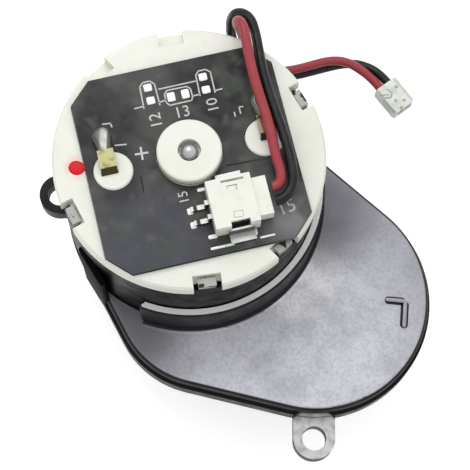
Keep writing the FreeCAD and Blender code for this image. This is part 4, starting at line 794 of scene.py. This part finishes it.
# Terminals and brush springs: stamped brass strip, with painted shade, dull olive, where it stands
# up through the board facing its front, browned by the solder's heat on the right, with a lump of
# solder behind each.
STRIP_COLOR = (142, 140, 100)
STRIP_BROWN = (110, 105, 70)
STRIP_FRONT_SHADE = (66, 62, 34)
COPPERY_COLOR = (130, 106, 90)
COPPERY_DARK = (62, 46, 40)
COPPERY_FRONT_SHADE = (70, 52, 44)
STRIP_FRONT = (0.8465, -0.5324, 0)


def strip_finish(name, flat, worn, front):
    """Brass strip: one colour lying flat, and painted shade where it faces the front of the board.
    """
    finish = new_finish(name, flat, 0.32, Metallic=0.8)
    heat = spread(finish, grain(finish, 1.0, 3), 0.5, 0.75)
    skin = mingle(finish, heat, flat, worn)
    shaded_front = spread(finish, facing(finish, STRIP_FRONT), 0.25, 0.6)
    set_on(finish, "Base Color", mingle(finish, shaded_front, skin, front))
    roughen(finish, grain(finish, 5.0, 2, stretch=(1, 0.2, 1)), 0.02, 0.5)
    return finish


stamped_brass = strip_finish("stamped_brass", STRIP_COLOR, STRIP_BROWN, STRIP_FRONT_SHADE)
browned_brass = strip_finish("browned_brass", COPPERY_COLOR, COPPERY_DARK, COPPERY_FRONT_SHADE)
dress(stamped_brass, "terminal_1", "brush_arm_1", "brush_arm_2")
dress(browned_brass, "terminal_2")

SOLDER_COLOR = (158, 158, 153)
SOLDER_LEFT_SHADE = (88, 88, 82)
SOLDER_FLUX_AND_SHADE = (104, 104, 100)
PICTURE_RIGHT = (0.718, 0.696, 0.0)
SOLDER_LIT = (-9.95, -9.35)
SOLDER_SHADED = (-8.98, -8.75)
solder = new_finish("solder", SOLDER_COLOR, 0.3, Metallic=0.6)
# Painted light and shade: each lump is shaded on its left, lit across its middle and shaded grey
# on its right, across the camera's view; the same grey also marks flux.
across = along(solder, PICTURE_RIGHT)
flux = spread(solder, grain(solder, 1.0, 3), 0.35, 0.7, -0.2, 0.2)
joint = mingle(solder, spread(solder, across, *SOLDER_LIT), SOLDER_LEFT_SHADE, SOLDER_COLOR)
joint = mingle(solder, spread(solder, across, *SOLDER_SHADED), joint, SOLDER_FLUX_AND_SHADE)
set_on(solder, "Base Color", mingle(solder, flux, joint, SOLDER_FLUX_AND_SHADE))
uneven(solder, grain(solder, 2.0, 3), 0.3, 0.7, 0.24, 0.42)
roughen(solder, grain(solder, 1.5, 3), 0.06, 0.5)
dress(solder, "solder_joint_1", "solder_joint_2")

# The header's pins and tabs and the end plug's contacts: tinned brass strip, bright where it
# lies level, with painted shade on its other faces and across the gap between its legs.
TINNED_COLOR = (196, 197, 194)
TINNED_DULL = (172, 173, 170)
TINNED_SHADE = (46, 45, 43)
GAP_STARTS = (2.85, 2.95)
GAP_ENDS = (3.3, 3.4)
STRIP_ALONG = (0.5324, 0.8465, 0.0)
tinned_strip = new_finish("tinned_strip", TINNED_COLOR, 0.32, Metallic=0.55)
strip_level = spread(tinned_strip, facing(tinned_strip, UP), 0.5, 0.9)
strip_dull = spread(tinned_strip, grain(tinned_strip, 1.2, 2), 0.5, 0.8)
strip_skin = mingle(tinned_strip, strip_dull, TINNED_COLOR, TINNED_DULL)
# Painted shade: dark across the gap between the legs and on every face that does not lie level.
outward = along(tinned_strip, STRIP_ALONG)
gap_end = spread(tinned_strip, outward, *GAP_ENDS)
strip_gap_shade = mingle(tinned_strip, gap_end, TINNED_SHADE, strip_skin)
gap_start = spread(tinned_strip, outward, *GAP_STARTS)
strip_skin = mingle(tinned_strip, gap_start, strip_skin, strip_gap_shade)
set_on(tinned_strip, "Base Color", mingle(tinned_strip, strip_level, TINNED_SHADE, strip_skin))
roughen(tinned_strip, grain(tinned_strip, 2.5, 2), 0.01, 0.4)
dress(tinned_strip, "header_pin_1", "header_pin_2", "header_tab_1", "header_tab_2",
      "end_contact_1", "end_contact_2")

# The circuit board: glass epoxy under black solder mask, which shows the copper areas beneath as
# a faint relief, with dust and flux stains and a blue-grey and a pale patch of painted reflection
# for its sheen.
MASK_COLOR = (26, 25, 25)
MASK_COPPER = (66, 64, 64)
MASK_BLUE_SHEEN = (64, 66, 73)
MASK_STAIN = (98, 95, 93)
MASK_GREEN = (58, 66, 58)
MASK_PALE_SHEEN = (122, 120, 121)
MASK_BLACK = (12, 12, 11)
BOARD_TOP = 22.4
# Painted reflection: the blue-grey and the pale patch stand for the mask's sheen.
MASK_PATCHES = (
    (MASK_BLUE_SHEEN, (-5.0, -0.3, BOARD_TOP), 3.5, 9.0),
    (MASK_PALE_SHEEN, (3.97, 13.53, BOARD_TOP), 0.5, 5.5),
    (MASK_BLACK, (-13.8, 20.24, BOARD_TOP), 2.5, 8.0),
)
solder_mask = new_finish("solder_mask", MASK_COLOR, 0.42, Specular_IOR_Level=0.3)
areas = spread(solder_mask, grain(solder_mask, 0.13, 2), 0.42, 0.6)
mask_skin = mingle(solder_mask, areas, MASK_COLOR, MASK_COPPER)
for patch_color, patch_place, patch_core, patch_end in MASK_PATCHES:
    patch = spread(solder_mask, away(solder_mask, patch_place), patch_core, patch_end)
    mask_skin = mingle(solder_mask, patch, patch_color, mask_skin)
tinted = spread(solder_mask, grain(solder_mask, 0.22, 2), 0.5, 0.64, 0, 0.7)
mask_skin = mingle(solder_mask, tinted, mask_skin, MASK_GREEN)
stains = spread(solder_mask, grain(solder_mask, 0.45, 6), 0.52, 0.8, 0, 0.6)
set_on(solder_mask, "Base Color", mingle(solder_mask, stains, mask_skin, MASK_STAIN))
uneven(solder_mask, grain(solder_mask, 0.4, 5), 0.3, 0.7, 0.34, 0.54)
roughen(solder_mask, grain(solder_mask, 0.9, 3), 0.02, 0.4)
dress(solder_mask, "circuit_board")

# What is printed on the board: fine white epoxy ink round the three empty chip places, with
# plain numbers, a plus sign for the motor's positive side and ticks by the terminals.
MOTOR_PLACE = (-9.43, 10.67)
BOARD_TURN = math.radians(57.83)
INK_COLOR = (202, 203, 200)
INK_WORN = (150, 151, 152)
INK_WIDTH = 0.16
INK_BASE = BOARD_TOP - 0.01
INK_TOP = BOARD_TOP + 0.03
INK_LINES = (
    (-3.75, 9.45, -3.88, 6.7), (-2.0, 9.45, -1.96, 6.7), (-3.75, 9.45, -3.3, 9.92),
    (-3.3, 9.92, -2.45, 9.92), (-2.45, 9.92, -2.0, 9.45),
    (-1.72, 8.69, 2.81, 8.7), (-4.98, 6.95, -3.87, 7.0), (-2.0, 7.05, -1.05, 7.2),
    (-0.75, 8.32, 1.6, 8.28), (-0.85, 6.42, 1.8, 6.45), (-1.15, 7.9, -1.15, 6.85),
    (-1.15, 7.9, -0.75, 8.32), (-1.15, 6.85, -0.85, 6.42), (1.6, 8.28, 1.98, 7.9),
    (1.98, 7.9, 2.02, 6.9), (2.02, 6.9, 1.8, 6.45), (2.04, 6.95, 2.9, 6.96),
    (2.98, 9.4, 2.88, 6.75), (4.75, 9.45, 4.7, 6.75), (2.98, 9.4, 3.4, 9.85),
    (3.4, 9.85, 4.25, 9.87), (4.25, 9.87, 4.75, 9.45), (4.75, 7.0, 5.65, 7.06),
    (-9.05, 5.93, -8.05, 5.82), (-8.1, 5.82, -8.0, 5.3), (-8.2, 3.05, -6.8, 2.86),
    (7.0, 4.4, 7.0, 3.5), (7.0, 4.4, 7.5, 4.3), (6.3, 3.9, 6.3, 3.3),
)
PLUS_ARMS = ((-6.16, 1.42, -4.56, 1.32), (-5.31, 2.17, -5.41, 0.57))
PLUS_WIDTH = 0.24
PLUS_STEP = 0.004
INK_NUMBERS = (
    ("12", -2.8, 4.95, 90.0, 1.95), ("13", 0.38, 5.25, 0.0, 1.95), ("10", 4.1, 5.3, 90.0, 1.85),
    ("15", -1.8, -4.95, 90.0, 1.6), ("15", 9.4, -8.85, 8.0, 2.2),
)


def on_board(x, y):
    """A place on the board, in the board's own axes about the motor, to the row frame, in mm."""
    return (MOTOR_PLACE[0] + x * math.cos(BOARD_TURN) - y * math.sin(BOARD_TURN),
            MOTOR_PLACE[1] + x * math.sin(BOARD_TURN) + y * math.cos(BOARD_TURN))


def board_bar(name, line, width, bottom, top, rounded=0.0):
    """A bar on the board, along a line given as x, y, x, y in the board's own axes, in mm."""
    x0, y0, x1, y1 = line
    return bar(name, on_board(x0, y0), on_board(x1, y1), width, bottom, top, rounded)


white_ink = new_finish("white_ink", INK_COLOR, 0.6)
two_toned(white_ink, grain(white_ink, 2.0, 4), 0.5, 0.8, INK_COLOR, INK_WORN, 0.6)
roughen(white_ink, grain(white_ink, 8.0, 2), 0.01, 0.4)
ink = [board_bar("ink_line", line, INK_WIDTH, INK_BASE, INK_TOP) for line in INK_LINES]
for index, arm_line in enumerate(PLUS_ARMS):
    ink.append(board_bar("ink_plus", arm_line, PLUS_WIDTH, INK_BASE, INK_TOP + index * PLUS_STEP))
for figures, x, y, turn, size in INK_NUMBERS:
    nothing_selected()
    bpy.ops.object.text_add()
    number = bpy.context.object
    number.data.body = figures
    number.data.size = size * MM
    number.data.align_x = "CENTER"
    number.data.align_y = "CENTER"
    number.data.extrude = (INK_TOP - INK_BASE) / 2 * MM
    bpy.ops.object.convert(target="MESH")
    number = bpy.context.object
    number.rotation_euler.z = BOARD_TURN + math.radians(turn)
    number_place = (*on_board(x, y), (INK_BASE + INK_TOP) / 2)
    number.location = [axis * MM for axis in number_place]
    bpy.ops.object.transform_apply(location=True, rotation=True, scale=True)
    ink.append(number)
made_one("board_print", ink, white_ink, "housing")

# The bare pads: tinned copper left for chips that this version of the board goes without, and
# those under the header's pins and tabs.
PADS = (
    (-2.87, 9.15, 1.0, 0.95), (-2.87, 7.5, 1.0, 0.95), (-0.45, 7.4, 0.95, 1.15),
    (1.26, 7.4, 0.95, 1.15), (3.75, 9.0, 1.0, 0.95), (3.75, 7.35, 1.0, 0.95),
    (-1.5, -6.78, 0.7, 0.8), (-1.5, -8.48, 0.7, 0.8),
    (0.35, -10.3, 1.1, 0.5), (4.15, -10.85, 2.6, 0.8), (0.3, -4.5, 0.9, 0.45),
    (1.15, -11.68, 2.8, 0.32), (6.45, -11.66, 1.8, 0.26),
)
PAD_TOP = BOARD_TOP + 0.08
PAD_CORNER = 0.18
PAD_CORNER_SHARE = 0.35
PAD_EDGE = 0.05
TIN_COLOR = (228, 229, 227)
TIN_DULL = (178, 179, 178)
tinned = new_finish("tinned_pad", TIN_COLOR, 0.35, Metallic=0.35)
two_toned(tinned, grain(tinned, 1.5, 3), 0.5, 0.8, TIN_COLOR, TIN_DULL, 0.5)
roughen(tinned, grain(tinned, 1.2, 2), 0.05, 0.5)
pads = []
for x, y, wide, deep in PADS:
    pad = board_bar("pad", (x - wide / 2, y, x + wide / 2, y), deep, INK_BASE, PAD_TOP,
                    min(PAD_CORNER, deep * PAD_CORNER_SHARE))
    pads.append(softened(pad, PAD_EDGE))
made_one("board_pads", pads, tinned, "housing")

# The tracks: two runs of copper under the mask, one from the hub toward the board's edge and
# one below the plus sign, drawn as faint dark lines of painted shade.
TRACKS = ((3.75, -2.32, 9.27, -2.54), (-6.06, -1.22, -6.18, -3.38))
TRACK_WIDTH = 0.2
TRACK_TOP = BOARD_TOP + 0.02
TRACK_SHADE = (34, 34, 34)
track_mask = new_finish("track_mask", TRACK_SHADE, 0.5, Specular_IOR_Level=0.2)
two_toned(track_mask, grain(track_mask, 0.8, 3), 0.4, 0.7, TRACK_SHADE, MASK_COPPER)
tracks = [board_bar("track", line, TRACK_WIDTH, INK_BASE, TRACK_TOP) for line in TRACKS]
made_one("board_tracks", tracks, track_mask, "housing")

# The header and the plug in it: white nylon, moulded with small steps and a window for the
# latch, and a little uneven in its tone.
HEADER_COLOR = (238, 238, 228)
HEADER_SHADE = (229, 228, 217)
header_nylon = new_finish("header_nylon", HEADER_COLOR, 0.42, Subsurface_Weight=0.08,
                          Subsurface_Scale=0.001)
two_toned(header_nylon, grain(header_nylon, 0.6, 4), 0.45, 0.75, HEADER_COLOR, HEADER_SHADE)
roughen(header_nylon, grain(header_nylon, 3.0, 3), 0.02, 0.4)
dress(header_nylon, "socket_header", "wire_plug")

# The header's marks: a parting line and two moulding marks. Painted shade lies on the latch
# window's sill and fills the window like a dark line.
HEADER_TOP = 25.4
WINDOW_SILL = 23.4
WINDOW_HEIGHT = 1.2
SILL_LINE = (2.55, -10.13, 4.7, -10.13)
SILL_WIDTH = 0.5
SILL_BASE = WINDOW_SILL - 0.02
SILL_SHADE_TOP = WINDOW_SILL + 0.01
WINDOW_LINE = (2.55, -9.875, 4.7, -9.875)
WINDOW_WIDTH = 0.04
MARK_BASE = HEADER_TOP - 0.02
MARK_TOP = HEADER_TOP + 0.006
MARK_STEP = 0.001
DUST_COLOR = (132, 130, 118)
DUST_PALE = (190, 188, 176)
HEADER_MARKS = (
    (2.45, -5.06, 5.1, -5.1, 0.26), (3.0, -5.7, 4.2, -5.73, 0.12), (3.02, -5.7, 3.0, -6.05, 0.08),
    (4.1, -5.73, 4.05, -6.35, 0.08), (3.1, -8.8, 4.1, -8.86, 0.06), (3.08, -8.8, 3.02, -9.5, 0.06),
    (3.02, -9.5, 4.05, -9.56, 0.06), (4.1, -8.86, 4.05, -9.56, 0.06),
)
dust = new_finish("dust", DUST_COLOR, 0.8)
two_toned(dust, grain(dust, 1.5, 3), 0.4, 0.8, DUST_COLOR, DUST_PALE)
header_marks = []
for index, (*line, wide) in enumerate(HEADER_MARKS):
    header_marks.append(board_bar("header_mark", line, wide, MARK_BASE,
                                  MARK_TOP + MARK_STEP * (index % 2)))
# Painted shade in the latch window: a thin dark sheet on its sill and one upright in it.
latch_shade = [
    board_bar("sill_shade", SILL_LINE, SILL_WIDTH, SILL_BASE, SILL_SHADE_TOP),
    board_bar("latch_shade", WINDOW_LINE, WINDOW_WIDTH, WINDOW_SILL, WINDOW_SILL + WINDOW_HEIGHT),
]
made_one("latch_shade", latch_shade, painted_shade, "housing")
made_one("header_marks", header_marks, dust, "housing")

# The end plug: the same nylon left its own milky colour, so a little light passes through
# it. It lies on its side at the wires' free end.
END_COLOR = (238, 240, 231)
END_SHADE = (214, 216, 203)
milky_nylon = new_finish("milky_nylon", END_COLOR, 0.35, Subsurface_Weight=0.3,
                         Subsurface_Scale=0.002, Transmission_Weight=0.05)
two_toned(milky_nylon, grain(milky_nylon, 0.8, 4), 0.4, 0.7, END_COLOR, END_SHADE)
roughen(milky_nylon, grain(milky_nylon, 2.0, 3), 0.03, 0.4)
dress(milky_nylon, "end_plug")

# The end plug's small forms: two rails and the ledge that holds the red wire's crimp, with
# painted shade in a groove round the ledge and in four dimples.
PLUG_TOP = 0.9
PLUG_MOUTH = (0.92, 40.76)
PLUG_TURN = math.radians(-8.88)
RAIL_CORNER = 0.1
RAIL_EDGE = 0.06
RAILS = ((-3.9, 1.42, -0.3, 1.42, 0.3, 0.14), (-2.3, -1.45, -0.3, -1.45, 0.3, 0.14),
         (-3.3, -1.5, -2.75, -0.5, 0.5, 0.3))
DIMPLES = ((-1.37, -0.49), (-0.77, 0.46), (-0.15, -0.5), (-2.85, 0.8))
DIMPLE_R = 0.24
DIMPLE_BASE = PLUG_TOP - 0.005
DIMPLE_HEIGHT = 0.02
LEDGE_GROOVE = ((-3.35, -0.4, -2.45, -0.2), (-2.45, -0.22, -2.1, -0.8),
                (-2.1, -0.78, -2.6, -1.5))
GROOVE_WIDTH = 0.2
GROOVE_CORNER = 0.08
GROOVE_BASE = PLUG_TOP - 0.05
GROOVE_TOP = PLUG_TOP + 0.01
GROOVE_STEP = 0.003
PLUG_SHADE = (168, 170, 156)
PLUG_SHADE_PALE = (188, 190, 176)


def on_plug(x, y):
    """A place on the end plug, along it from its mouth and across it, to the row frame, in mm."""
    return (PLUG_MOUTH[0] + x * math.cos(PLUG_TURN) - y * math.sin(PLUG_TURN),
            PLUG_MOUTH[1] + x * math.sin(PLUG_TURN) + y * math.cos(PLUG_TURN))


rails = []
for x0, y0, x1, y1, wide, tall in RAILS:
    rail = bar("rail", on_plug(x0, y0), on_plug(x1, y1), wide, PLUG_TOP - SUNK,
               PLUG_TOP + tall, RAIL_CORNER)
    rails.append(softened(rail, RAIL_EDGE))
made_one("plug_rails", rails, milky_nylon, "housing")
# Painted shade: grey strips and spots stand for the shade in the groove round the ledge and in the
# four dimples.
dimple_shade = new_finish("dimple_shade", PLUG_SHADE, 0.5)
two_toned(dimple_shade, grain(dimple_shade, 1.5, 3), 0.4, 0.7, PLUG_SHADE, PLUG_SHADE_PALE)
dimples = [drop("dimple", *on_plug(x, y), DIMPLE_BASE, DIMPLE_R, DIMPLE_HEIGHT)
           for x, y in DIMPLES]
for index, (x0, y0, x1, y1) in enumerate(LEDGE_GROOVE):
    dimples.append(bar("groove", on_plug(x0, y0), on_plug(x1, y1), GROOVE_WIDTH,
                       GROOVE_BASE, GROOVE_TOP + GROOVE_STEP * index, GROOVE_CORNER))
made_one("plug_dimple_shade", dimples, dimple_shade, "housing")


nothing_selected()
